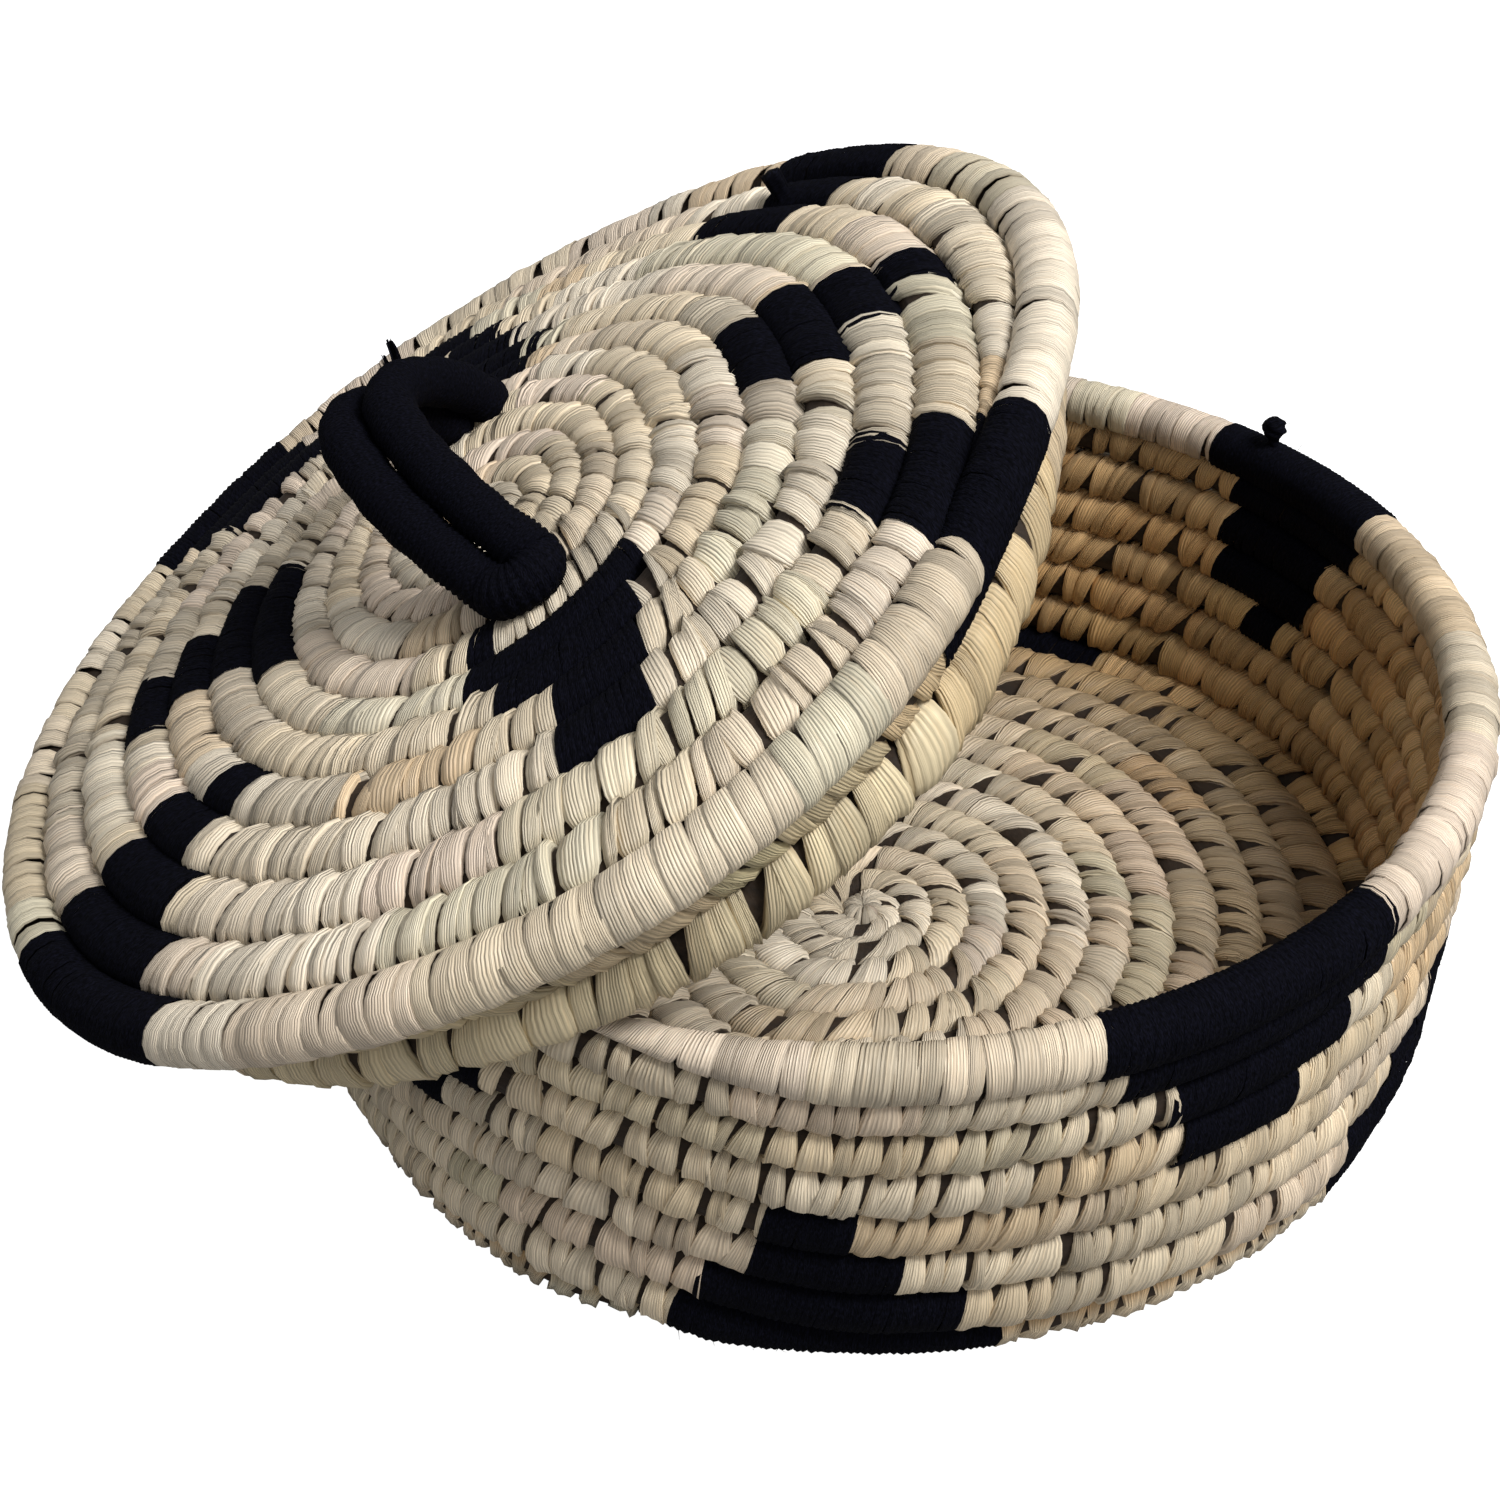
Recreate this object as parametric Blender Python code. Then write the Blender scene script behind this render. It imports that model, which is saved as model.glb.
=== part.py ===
"""A round coiled basket for roti, with its lid taken off and leaning on the rim.

Metres, +Z up. The origin is the middle of the face that the basket stands on. The basket and
the lid are each a grass cord wound round and round, every turn sewn to the one before it. The
cord is wound clockwise, seen from above. A row stays level for most of its turn and then moves
on by one row within a short stretch, and the last row tapers to nothing there, so that the rim
ends level all the way round.
"""

import math

import bmesh
import bpy
import numpy as np
from mathutils import Matrix, Vector
from mathutils.bvhtree import BVHTree

# Shared sizes
TURN_GAP = 0.0005
SEAT_GAP = 0.0003
POINTS_PER_TURN = 21
CORD_SIDES_RESOLUTION = 1
POINTS_NEARBY = 2  # how many points each way are looked at in the next row for its gap
STEP_STRETCH = 0.2  # share of a turn in which a row moves on to the next
TAPER_LEFT = 0.35  # share of the cord's thickness at its cut end

FLAT_SIDE_SHARE = math.cos(math.pi / 6)  # how far a six-sided cord's flats are from its middle

# Basket, on the cord's centre line
BASE_RADIUS = 0.1215
WALL_FLARE = 0.0035
RIM_RADIUS = BASE_RADIUS + WALL_FLARE
CORNER_RADIUS = 0.005
RIM_HEIGHT = 0.0776
BASKET_CORD = 0.0099
BASKET_STEP_AZIMUTH = math.radians(240)
FLAT_DEPTH_SHARE = 0.1  # of the cord's diameter, cut flat where the basket stands

# The middle of both spirals: a short knot of grass, and thinner cord round it
START_KNOT_RADIUS = 0.0042
START_CORD = 0.0066
START_TURNS = 2.4  # how many turns the cord takes to grow most of the way to full thickness

# Lid, on the cord's centre line, in its own frame with the rim at z = 0
LID_RADIUS = 0.1212
LID_CORD = 0.0106
LID_RIM_CORD = 0.0112
LID_DOME = 0.0102
LID_STEP_AZIMUTH = math.radians(317)
LID_RIM_BREAK = 0.012
COLLAR_INSET = 0.0082  # how much its upper row is smaller in radius than the rim
COLLAR_CORD = 0.0116
COLLAR_ROWS = 2

# How the lid leans: where its middle is, as shares of the rim's radius, and which way it tips
LID_PLACE_SHARES = (-0.576, -0.0595)
LID_TILT = math.radians(27.3)
LID_TILT_AZIMUTH = math.radians(187)
LID_LIFTED_START = 0.06
SEATING_STEPS = 16

# Handle, a loop of yarn-wound rope pressed flat into two strands
HANDLE_ROPE = 0.0094
HANDLE_SPAN = 0.0825
HANDLE_RISE = 0.0239
HANDLE_LEAN = -0.0105
HANDLE_TURN = math.radians(11.2)
HANDLE_MIDDLE = (0.0056, 0.0009)
HANDLE_STRAND_POINTS = 13
HANDLE_BIGHT_POINTS = 5
HANDLE_ARCH_POWER = 0.7

# Knots of spare yarn
RIM_KNOT_AZIMUTH = math.radians(41)
RIM_KNOT_RADIUS = 0.0032
RIM_KNOT_STEM = 0.0045
RIM_KNOT_STEM_RADIUS = 0.0013
LID_KNOT_AZIMUTH = math.radians(45)
LID_KNOT_INSET = 0.0136  # how far it stands in from the rim, on the last row
LID_KNOT_RADIUS = 0.0022
LID_KNOT_HEIGHT = 0.007
KNOT_EDGE_SHARE = 0.75  # of its radius, where a knot's ends are flat
KNOT_SEGMENTS = 10

BALL_RINGS = 4

# A ring's corners stand this much out, so that its sides lie as much inside the true circle
CORNER_SHARE = 2 / (1 + math.cos(math.pi / POINTS_PER_TURN))


def clear_scene():
    for thing in list(bpy.data.objects):
        bpy.data.objects.remove(thing, do_unlink=True)


def make_material(name, colour, roughness):
    material = bpy.data.materials.new(name)
    material.use_nodes = True
    shader = material.node_tree.nodes["Principled BSDF"]
    shader.inputs["Base Color"].default_value = (*colour, 1.0)
    shader.inputs["Roughness"].default_value = roughness
    shader.inputs["Metallic"].default_value = 0.0
    return material


def rows_moved_on(turn, settle):
    """The row that the cord has reached after so many turns.

    At the middle it grows steadily, as a spiral. As settle goes to 1 it stays level and moves on
    only in the last stretch of each turn.
    """
    whole = math.floor(turn)
    part = turn - whole
    late = min(max((part - 1 + STEP_STRETCH) / STEP_STRETCH, 0.0), 1.0)
    late = late * late * (3 - 2 * late)
    return whole + (1 - settle) * part + settle * late


class Winding:
    """A cord wound along a profile: a function from the distance along it to radius, height and slope."""

    def __init__(self, profile, length, cord, start_cord, first, step_azimuth, settle_turns):
        start_pitch = start_cord + TURN_GAP
        rows = (length - first - start_pitch * START_TURNS) / (cord + TURN_GAP) + START_TURNS
        self.rows = max(round(rows), 1)
        self.start_pitch = start_pitch
        self.pitch = (length - first - start_pitch * START_TURNS) / (self.rows - START_TURNS)
        self.profile = profile
        self.first = first
        self.step_azimuth = step_azimuth
        self.settle_turns = settle_turns

    def distance(self, row):
        grown = (self.pitch - self.start_pitch) * START_TURNS * (1 - math.exp(-row / START_TURNS))
        return self.first + self.pitch * row - grown

    def row_past(self, distance):
        """The first row that lies farther out than a distance along the profile."""
        return next(row for row in range(self.rows) if self.distance(row) > distance)

    def on_profile(self, turn):
        """Radius, height and slope of the cord's centre line after so many turns, and its row."""
        row = rows_moved_on(turn, min(turn / self.settle_turns, 1.0))
        row = min(row, self.rows)
        return (*self.profile(self.distance(row)), row)

    def centre(self, turn):
        radius, height = self.on_profile(turn)[:2]
        return around(self.step_azimuth - math.tau * turn, radius, height)

    def cord_radius(self, turn):
        """Half of what the nearest points of the neighbouring rows leave, less the gap between."""
        here = self.centre(turn)
        nearest = self.pitch
        index = round(turn * POINTS_PER_TURN)
        for row in (index - POINTS_PER_TURN, index + POINTS_PER_TURN):
            for other in range(row - POINTS_NEARBY, row + POINTS_NEARBY + 1):
                if 0 <= other <= self.rows * POINTS_PER_TURN:
                    there = self.centre(other / POINTS_PER_TURN)
                    nearest = min(nearest, math.dist(here, there))
        return (nearest - TURN_GAP) / 2

    def point(self, turn):
        """x, y, z, cord radius and tilt of the cord's cross section after so many turns."""
        slope = self.on_profile(turn)[2]
        return (*self.centre(turn), self.cord_radius(turn), slope)

    def tail_point(self, turn):
        """As point, on the last row's end, which lies on the step below it and thins as that rises."""
        below = self.on_profile(turn - 1)[3]
        moved = 1 - (self.rows - below)
        radius, height, slope = self.profile(self.distance(self.rows) + self.pitch * moved / 2)
        place = around(self.step_azimuth - math.tau * turn, radius, height)
        thickness = (self.pitch * (1 - moved) - TURN_GAP) / 2
        return (*place, thickness, slope)

    def points(self):
        """The whole cord's points, from the middle to the cut end of the tail."""
        points = []
        tail = self.rows + 1 - STEP_STRETCH
        for i in range((self.rows + 1) * POINTS_PER_TURN):
            turn = i / POINTS_PER_TURN
            point = self.point(turn) if turn < tail else self.tail_point(turn)
            if turn >= tail and point[3] < TAPER_LEFT * self.pitch / 2:
                break
            points.append(point)
        return points


def around(azimuth, radius, height):
    """A corner of a ring that has so many corners a turn."""
    radius *= CORNER_SHARE
    return math.cos(azimuth) * radius, math.sin(azimuth) * radius, height


def between(start, end, share):
    """A point of a cord that lies some share of the way between two of its points."""
    return tuple(a + (b - a) * share for a, b in zip(start, end))


def cut_cord(points, index):
    """Cuts a cord across, halfway along a straight piece, so that its two new ends are parallel."""
    start, end = points[index], points[index + 1]
    half_gap = SEAT_GAP / 2 / math.dist(start[:3], end[:3])
    before = points[: index + 1] + [between(start, end, 0.5 - half_gap)]
    after = [between(start, end, 0.5 + half_gap)] + points[index + 1 :]
    return before, after


def basket_profile():
    """The centre line's way from the middle of the floor, round the corner and up to the rim."""
    floor_height = BASKET_CORD / 2
    corner = (BASE_RADIUS - CORNER_RADIUS, floor_height + CORNER_RADIUS)
    reach = (RIM_RADIUS - corner[0], RIM_HEIGHT - corner[1])
    wall = math.sqrt(reach[0] ** 2 + reach[1] ** 2 - CORNER_RADIUS**2)
    lean = math.atan2(reach[1], reach[0]) + math.atan2(CORNER_RADIUS, wall)
    arc = CORNER_RADIUS * lean

    def profile(distance):
        if distance <= corner[0]:
            return distance, floor_height, 0.0
        if distance <= corner[0] + arc:
            turned = (distance - corner[0]) / CORNER_RADIUS
        else:
            turned = lean
        up = max(distance - corner[0] - arc, 0.0)
        radius = corner[0] + CORNER_RADIUS * math.sin(turned) + up * math.cos(turned)
        height = corner[1] - CORNER_RADIUS * math.cos(turned) + up * math.sin(turned)
        return radius, height, turned

    return profile, corner[0] + arc + wall


def lid_profile(radius):
    """The domed top of the lid, in its own frame."""
    share = radius / LID_RADIUS
    slope = math.atan2(-2 * LID_DOME * share, LID_RADIUS)
    return radius, LID_DOME * (1 - share**2), slope


def least_gap(points, closed):
    """The least gap between a cord and itself further along, on its own points.

    Points count as further along once the way to them is longer than a half circle whose two
    sides would just touch.
    """
    places = np.array(points)
    steps = np.linalg.norm(np.diff(places[:, :3], axis=0), axis=1)
    along = np.concatenate([[0.0], np.cumsum(steps)])
    whole = along[-1] + np.linalg.norm(places[-1, :3] - places[0, :3])
    least = math.inf
    for i in range(len(places)):
        way = np.abs(along - along[i])
        if closed:
            way = np.minimum(way, whole - way)
        apart = np.linalg.norm(places[:, :3] - places[i, :3], axis=1)
        gaps = apart - places[:, 3] - places[i, 3]
        far = way > math.pi * places[i, 3] * CORNER_SHARE
        if far.any():
            least = min(least, float(gaps[far].min()))
    return least


def cord_object(name, points, material, closed=False):
    """A tube along points of x, y, z, radius and tilt."""
    curve = bpy.data.curves.new(name, "CURVE")
    curve.dimensions = "3D"
    curve.twist_mode = "Z_UP"
    curve.bevel_depth = 1.0
    curve.bevel_resolution = CORD_SIDES_RESOLUTION
    curve.use_fill_caps = not closed
    spline = curve.splines.new("POLY")
    spline.points.add(len(points) - 1)
    for place, point in zip(spline.points, points):
        place.co = (*point[:3], 1.0)
        place.radius = point[3]
        place.tilt = point[4]
    spline.use_cyclic_u = closed
    spline.use_smooth = True
    curve.materials.append(material)
    cord = bpy.data.objects.new(name, curve)
    bpy.context.scene.collection.objects.link(cord)
    print(f"{name}: {len(points)} points, least gap to itself {least_gap(points, closed) * 1000:.2f} mm")
    return cord


def solid_object(name, bm, material):
    mesh = bpy.data.meshes.new(name)
    bmesh.ops.recalc_face_normals(bm, faces=bm.faces)
    bm.to_mesh(mesh)
    bm.free()
    mesh.shade_smooth()
    mesh.set_sharp_from_angle(angle=math.radians(50))
    mesh.materials.append(material)
    solid = bpy.data.objects.new(name, mesh)
    bpy.context.scene.collection.objects.link(solid)
    return solid


def turned_object(name, outline, segments, material):
    """A solid turned round Z from an outline of radius and height that starts and ends on the axis."""
    bm = bmesh.new()
    verts = [bm.verts.new((radius, 0.0, height)) for radius, height in outline]
    edges = [bm.edges.new(pair) for pair in zip(verts, verts[1:])]
    bmesh.ops.spin(
        bm,
        geom=verts + edges,
        cent=(0, 0, 0),
        axis=(0, 0, 1),
        angle=math.tau,
        steps=segments,
        use_merge=True,
    )
    bmesh.ops.remove_doubles(bm, verts=bm.verts, dist=TURN_GAP / 10)
    return solid_object(name, bm, material)


def cut_flat(cord, height):
    """Cuts off what lies below a level, where the basket stands."""
    reach = RIM_RADIUS + BASKET_CORD
    bm = bmesh.new()
    bmesh.ops.create_cube(bm, size=1.0)
    bmesh.ops.scale(bm, verts=bm.verts, vec=(reach * 2, reach * 2, BASKET_CORD))
    bmesh.ops.translate(bm, verts=bm.verts, vec=(0, 0, height - BASKET_CORD / 2))
    cutter = solid_object(cord.name + "_cutter", bm, cord.data.materials[0])
    cutter.hide_render = True
    cutter.display_type = "WIRE"
    mesh = bpy.data.meshes.new_from_object(cord.evaluated_get(bpy.context.evaluated_depsgraph_get()))
    bm = bmesh.new()
    bm.from_mesh(mesh)
    bmesh.ops.remove_doubles(bm, verts=bm.verts, dist=TURN_GAP / 10)
    name = cord.name
    bpy.data.objects.remove(cord, do_unlink=True)
    solid = solid_object(name, bm, mesh.materials[0])
    flat = solid.modifiers.new("flat", "BOOLEAN")
    flat.operation = "DIFFERENCE"
    flat.object = cutter
    return solid


def start_knot(name, height, low, high, material):
    """The knot of grass in the middle of a spiral, a button as thick as the cord round it."""
    edge = START_KNOT_RADIUS * KNOT_EDGE_SHARE
    outline = [(0.0, low), (edge, low), (START_KNOT_RADIUS, height), (edge, high), (0.0, high)]
    return turned_object(name, outline, KNOT_SEGMENTS, material)


def make_basket(straw, yarn):
    profile, length = basket_profile()
    first = START_KNOT_RADIUS + TURN_GAP + START_CORD / 2
    settle = (BASE_RADIUS - CORNER_RADIUS) / (BASKET_CORD + TURN_GAP)
    winding = Winding(
        profile, length, BASKET_CORD, START_CORD, first, BASKET_STEP_AZIMUTH, settle
    )
    rest, rim = cut_cord(winding.points(), winding.rows * POINTS_PER_TURN)
    floor, wall = cut_cord(rest, winding.row_past(BASE_RADIUS - CORNER_RADIUS) * POINTS_PER_TURN)
    flat = BASKET_CORD * ((1 - FLAT_SIDE_SHARE) / 2 + FLAT_DEPTH_SHARE)
    knot_high = BASKET_CORD / 2 + START_CORD / 2
    pieces = [
        cut_flat(cord_object("floor_coil", floor, straw), flat),
        cut_flat(cord_object("wall_coil", wall, straw), flat),
        cord_object("rim_coil", rim, straw),
        start_knot("floor_start_knot", BASKET_CORD / 2, flat, knot_high, straw),
    ]
    top = RIM_HEIGHT + winding.cord_radius(winding.rows - 1) + SEAT_GAP
    knot = rim_knot(top, yarn)
    return pieces + [knot], flat


def rim_knot(top, yarn):
    """A ball of yarn on a short stem, where the black yarn of a patch was tied off."""
    ball = top + RIM_KNOT_STEM + RIM_KNOT_RADIUS
    low = math.asin(RIM_KNOT_STEM_RADIUS / RIM_KNOT_RADIUS)
    outline = [(0.0, top), (RIM_KNOT_STEM_RADIUS, top)]
    for i in range(BALL_RINGS + 1):
        angle = low + (math.pi - low) * i / BALL_RINGS
        ring = RIM_KNOT_RADIUS * math.sin(angle) if i < BALL_RINGS else 0.0
        outline.append((ring, ball - RIM_KNOT_RADIUS * math.cos(angle)))
    knot = turned_object("rim_knot", outline, KNOT_SEGMENTS, yarn)
    knot.location = (
        RIM_RADIUS * math.cos(RIM_KNOT_AZIMUTH),
        RIM_RADIUS * math.sin(RIM_KNOT_AZIMUTH),
        0,
    )
    return knot


def make_lid(straw, yarn):
    """The lid's pieces in the lid's own frame."""
    last = LID_RADIUS - LID_RIM_CORD / 2 - TURN_GAP - LID_CORD / 2
    _, top_row, edge_slope = lid_profile(last)
    rim_height = top_row + LID_CORD / 2 * math.sin(edge_slope)
    first = START_KNOT_RADIUS + TURN_GAP + START_CORD / 2
    settle = last / (LID_CORD + TURN_GAP)
    winding = Winding(
        lid_profile, last, LID_CORD, START_CORD, first, LID_STEP_AZIMUTH, settle
    )
    pieces = [cord_object("lid_coil", winding.points(), straw)]

    rim = []
    for i in range(POINTS_PER_TURN + 1):
        place = around(LID_STEP_AZIMUTH - math.tau * i / POINTS_PER_TURN, LID_RADIUS, rim_height)
        rim.append((*place, LID_RIM_CORD / 2, 0.0))
    rim[0] = between(rim[0], rim[1], LID_RIM_BREAK / math.dist(rim[0][:3], rim[1][:3]))
    pieces.append(cord_object("lid_rim_coil", rim, straw))

    drop = (LID_CORD * FLAT_SIDE_SHARE + COLLAR_CORD) / 2 + SEAT_GAP - top_row
    pitch = COLLAR_CORD + TURN_GAP
    collar = []
    for i in range(round((COLLAR_ROWS - STEP_STRETCH) * POINTS_PER_TURN) + 1):
        turn = i / POINTS_PER_TURN
        height = -drop - pitch * rows_moved_on(turn, 1.0)
        place = around(LID_STEP_AZIMUTH - math.tau * turn, LID_RADIUS - COLLAR_INSET, height)
        collar.append((*place, COLLAR_CORD / 2, math.pi / 2))
    pieces.append(cord_object("collar_coil", collar, straw))

    middle = LID_DOME
    pieces.append(
        start_knot(
            "lid_start_knot", middle, middle - START_CORD / 2, middle + START_CORD / 2, straw
        )
    )
    pieces.append(handle_rope(yarn))
    pieces.append(lid_knot(yarn))
    return pieces


def handle_rope(yarn):
    """A closed loop of rope, arched over the middle of the lid, its two strands side by side."""
    half = HANDLE_SPAN / 2
    apart = (HANDLE_ROPE + 2 * TURN_GAP) / 2
    foot = lid_profile(half + apart)[1] + (LID_CORD + HANDLE_ROPE) / 2 * FLAT_SIDE_SHARE + SEAT_GAP

    def strand(side, share):
        arch = (1 - share**2) ** HANDLE_ARCH_POWER
        return Vector((side * apart + HANDLE_LEAN * arch, share * half, foot + HANDLE_RISE * arch))

    def bight(end):
        for i in range(1, HANDLE_BIGHT_POINTS + 1):
            angle = math.pi * i / (HANDLE_BIGHT_POINTS + 1)
            side = -end * math.cos(angle) * apart
            yield Vector((side, end * (half + math.sin(angle) * apart), foot))

    steps = [-1 + 2 * i / (HANDLE_STRAND_POINTS - 1) for i in range(HANDLE_STRAND_POINTS)]
    path = [strand(-1, share) for share in steps]
    path += list(bight(1))
    path += [strand(1, -share) for share in steps]
    path += list(bight(-1))
    turn = Matrix.Rotation(HANDLE_TURN, 3, "Z")
    middle = Vector((*HANDLE_MIDDLE, 0.0))
    points = [(*(turn @ place + middle), HANDLE_ROPE / 2, 0.0) for place in path]
    return cord_object("handle_rope", points, yarn, closed=True)


def lid_knot(yarn):
    """A stub of cut yarn standing on the last row before the lid's rim."""
    away = LID_RADIUS - LID_KNOT_INSET
    low = lid_profile(away - LID_KNOT_RADIUS)[1] + LID_CORD / 2 * FLAT_SIDE_SHARE + SEAT_GAP
    high = low + LID_KNOT_HEIGHT
    waist = LID_KNOT_RADIUS * KNOT_EDGE_SHARE
    outline = [(0.0, low), (waist, low), (LID_KNOT_RADIUS, (low + high) / 2), (waist, high), (0.0, high)]
    knot = turned_object("lid_knot", outline, KNOT_SEGMENTS, yarn)
    knot.location = (
        away * math.cos(LID_KNOT_AZIMUTH),
        away * math.sin(LID_KNOT_AZIMUTH),
        0,
    )
    return knot


def world_mesh(things):
    """Corners and triangles of some objects as they are placed, in one list each."""
    graph = bpy.context.evaluated_depsgraph_get()
    corners, faces = [], []
    for thing in things:
        mesh = bpy.data.meshes.new_from_object(thing.evaluated_get(graph))
        mesh.calc_loop_triangles()
        start = len(corners)
        corners += [thing.matrix_world @ vertex.co for vertex in mesh.vertices]
        faces += [[start + i for i in triangle.vertices] for triangle in mesh.loop_triangles]
        bpy.data.meshes.remove(mesh)
    return corners, faces


def lean_lid(frame, lid, basket):
    """Tips the lid and lowers it until it rests on the basket, the seat gap above it."""
    tip = Matrix.Rotation(LID_TILT, 4, Vector((-math.sin(LID_TILT_AZIMUTH), math.cos(LID_TILT_AZIMUTH), 0)))
    x, y = (share * RIM_RADIUS for share in LID_PLACE_SHARES)
    uphill = Matrix.Rotation(LID_TILT_AZIMUTH - math.pi, 4, "Z")
    turned = tip @ uphill
    frame.matrix_world = turned
    bpy.context.view_layer.update()
    lid_corners, lid_faces = world_mesh(lid)
    basket_corners, basket_faces = world_mesh(basket)
    basket_tree = BVHTree.FromPolygons(basket_corners, basket_faces)

    def clear(height):
        shift = Vector((x, y, height))
        moved = [corner + shift for corner in lid_corners]
        tree = BVHTree.FromPolygons(moved, lid_faces)
        if tree.overlap(basket_tree):
            return False
        near = (basket_tree.find_nearest(corner, SEAT_GAP)[3] for corner in moved)
        if any(distance is not None for distance in near):
            return False
        near = (tree.find_nearest(corner, SEAT_GAP)[3] for corner in basket_corners)
        return all(distance is None for distance in near)

    low, high = RIM_HEIGHT, RIM_HEIGHT + LID_LIFTED_START
    for _ in range(SEATING_STEPS):
        middle = (low + high) / 2
        if clear(middle):
            high = middle
        else:
            low = middle
    frame.matrix_world = Matrix.Translation((x, y, high)) @ turned
    bpy.context.view_layer.update()
    print(f"lid centre {x * 1000:.2f}, {y * 1000:.2f}, {high * 1000:.2f} mm")


def main():
    clear_scene()
    straw = make_material("palm_leaf", (0.63, 0.53, 0.38), 0.6)
    dark_straw = make_material("palm_leaf_lid", (0.60, 0.51, 0.37), 0.6)
    yarn = make_material("black_yarn", (0.008, 0.008, 0.015), 0.9)
    basket, stands_at = make_basket(straw, yarn)
    lid = make_lid(dark_straw, yarn)
    basket_frame = bpy.data.objects.new("basket_frame", None)
    lid_frame = bpy.data.objects.new("lid_frame", None)
    for frame, pieces in ((basket_frame, basket), (lid_frame, lid)):
        bpy.context.scene.collection.objects.link(frame)
        for piece in pieces:
            piece.parent = frame
    basket_frame.location = (0, 0, -stands_at)
    bpy.context.view_layer.update()
    lean_lid(lid_frame, lid, basket)


main()
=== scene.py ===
"""The looks of a coiled roti basket with its lid leaning on the rim.

Every row of the basket and of the lid is a bundle of brown grass wrapped in strips of dry palm
leaf. Here each strip is a small band that goes once round the bundle, with its own width, lean
and tone, and the bundle shows in the gaps between the strips. Black yarn takes the place of leaf
in the stepped patches. Both cords wind clockwise, as in the solids that they stand for.

Lengths are in metres and angles in radians where nothing else is said. A place on a cord is told
by its turns from the start of the winding, and an angle round the axis is its azimuth.
"""

import math

import bmesh
import bpy
import numpy as np
from mathutils import Matrix, Vector


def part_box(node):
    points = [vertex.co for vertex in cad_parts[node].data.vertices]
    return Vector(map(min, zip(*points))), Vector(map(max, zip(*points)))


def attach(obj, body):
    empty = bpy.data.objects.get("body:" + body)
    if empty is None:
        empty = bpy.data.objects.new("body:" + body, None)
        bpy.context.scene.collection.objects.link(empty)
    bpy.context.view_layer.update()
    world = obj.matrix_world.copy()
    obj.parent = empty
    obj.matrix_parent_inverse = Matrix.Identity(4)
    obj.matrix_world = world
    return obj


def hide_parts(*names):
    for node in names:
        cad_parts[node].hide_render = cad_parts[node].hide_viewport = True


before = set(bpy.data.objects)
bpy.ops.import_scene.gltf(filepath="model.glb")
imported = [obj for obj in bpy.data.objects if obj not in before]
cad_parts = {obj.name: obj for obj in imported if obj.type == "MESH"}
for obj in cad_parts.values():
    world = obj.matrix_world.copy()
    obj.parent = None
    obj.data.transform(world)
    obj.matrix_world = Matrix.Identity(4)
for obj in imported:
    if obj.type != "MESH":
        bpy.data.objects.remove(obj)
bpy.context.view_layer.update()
random = np.random.default_rng(20)

# Both windings start round a knot. Their first turns are thinner.
START_KNOT_RADIUS = 0.0042
START_CORD = 0.0066
START_TURNS = 2.4
START_TURN = -0.55
TURN_GAP = 0.0005
# The solids' cords have six sides: their width over the flats, as a share of that over corners
OVER_FLATS = math.cos(math.pi / 6)
# How far the grass runs on past the start of the last row, in turns
BUNDLE_RUN = 0.97

# Basket's winding, as in the solids
RIM_RADIUS = 0.125
BASE_RADIUS = 0.1215
CORNER_RADIUS = 0.005
RIM_HEIGHT = 0.0776
WALL_ROWS = 7
BASKET_CORD = 0.0099
BASKET_STEP_AZIMUTH = math.radians(240)
BASKET_STEP_STRETCH = 0.085
RIM_LEAF_RUN = 0.993
# The floor's underside is cut off here, and nothing goes lower than the next value
CUT_OFF_BELOW = BASKET_CORD * ((1 - OVER_FLATS) / 2 + 0.1)
LOWEST_CORD = 0.0002

# How far rows lie off the even winding: rows from the rim, then metres towards the rim at the
# sides and in front
BASKET_ROW_MOVES = (
    (8, 0.0, 0.0),
    (7, 0.0010, 0.0010),
    (6, 0.0024, 0.0024),
    (5, 0.0031, 0.0031),
    (4, 0.0033, 0.0033),
    (2, 0.0031, 0.0031),
    (1, 0.0028, 0.0028),
    (0, 0.0004, 0.0004),
)
LID_ROW_MOVES = (
    (10, 0.0, 0.0),
    (7, -0.0050, 0.0016),
    (6, -0.0060, 0.0008),
    (5, -0.0054, -0.0014),
    (4, -0.0048, -0.0022),
    (3, -0.0036, -0.0020),
    (1, -0.0006, -0.0005),
)

# Lid's winding, in the lid's own frame
LID_RADIUS = 0.1212
LID_CORD = 0.0106
LID_RIM_CORD = 0.0112
LID_DOME = 0.0102
LID_STEP_AZIMUTH = math.radians(317)
LID_STEP_STRETCH = 0.15
LID_LAST_ROW = LID_RADIUS - LID_RIM_CORD / 2 - TURN_GAP - LID_CORD / 2
# What is sewn to the lid lies this far off it
SEWN_GAP = 0.0003

# How the lid leans on the basket
LID_PLACE = (-0.576 * RIM_RADIUS, -0.0595 * RIM_RADIUS)
LID_TILT = math.radians(27.3)
LID_TILT_AZIMUTH = math.radians(187)

# The ring is the cord of the lid's rim, which dips under the lid and makes two rows of collar.
# A dip has the turn at which it starts and its length in turns.
COLLAR_RADIUS = 0.113
COLLAR_CORD = 0.0116
COLLAR_TUCK = 0.004
COLLAR_TUCK_AZIMUTH = math.radians(225)
RING_START = -0.006
RING_END = 2.8
RING_BLUNT = 0.0075
RING_LEAN = 0.12
FIRST_DIP = (0.955, 0.075)
SECOND_DIP = (1.86, 0.16)
# Where leaf starts and stops on it
RING_GRASS_START = RING_START + 0.0008
LID_RIM_LEAF_SPAN = (RING_START + 0.0012, 1.014)
UPPER_LEAF_SPAN = (1.006, 1.9)
LOWER_LEAF_SPAN = (1.9, RING_END)

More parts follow.
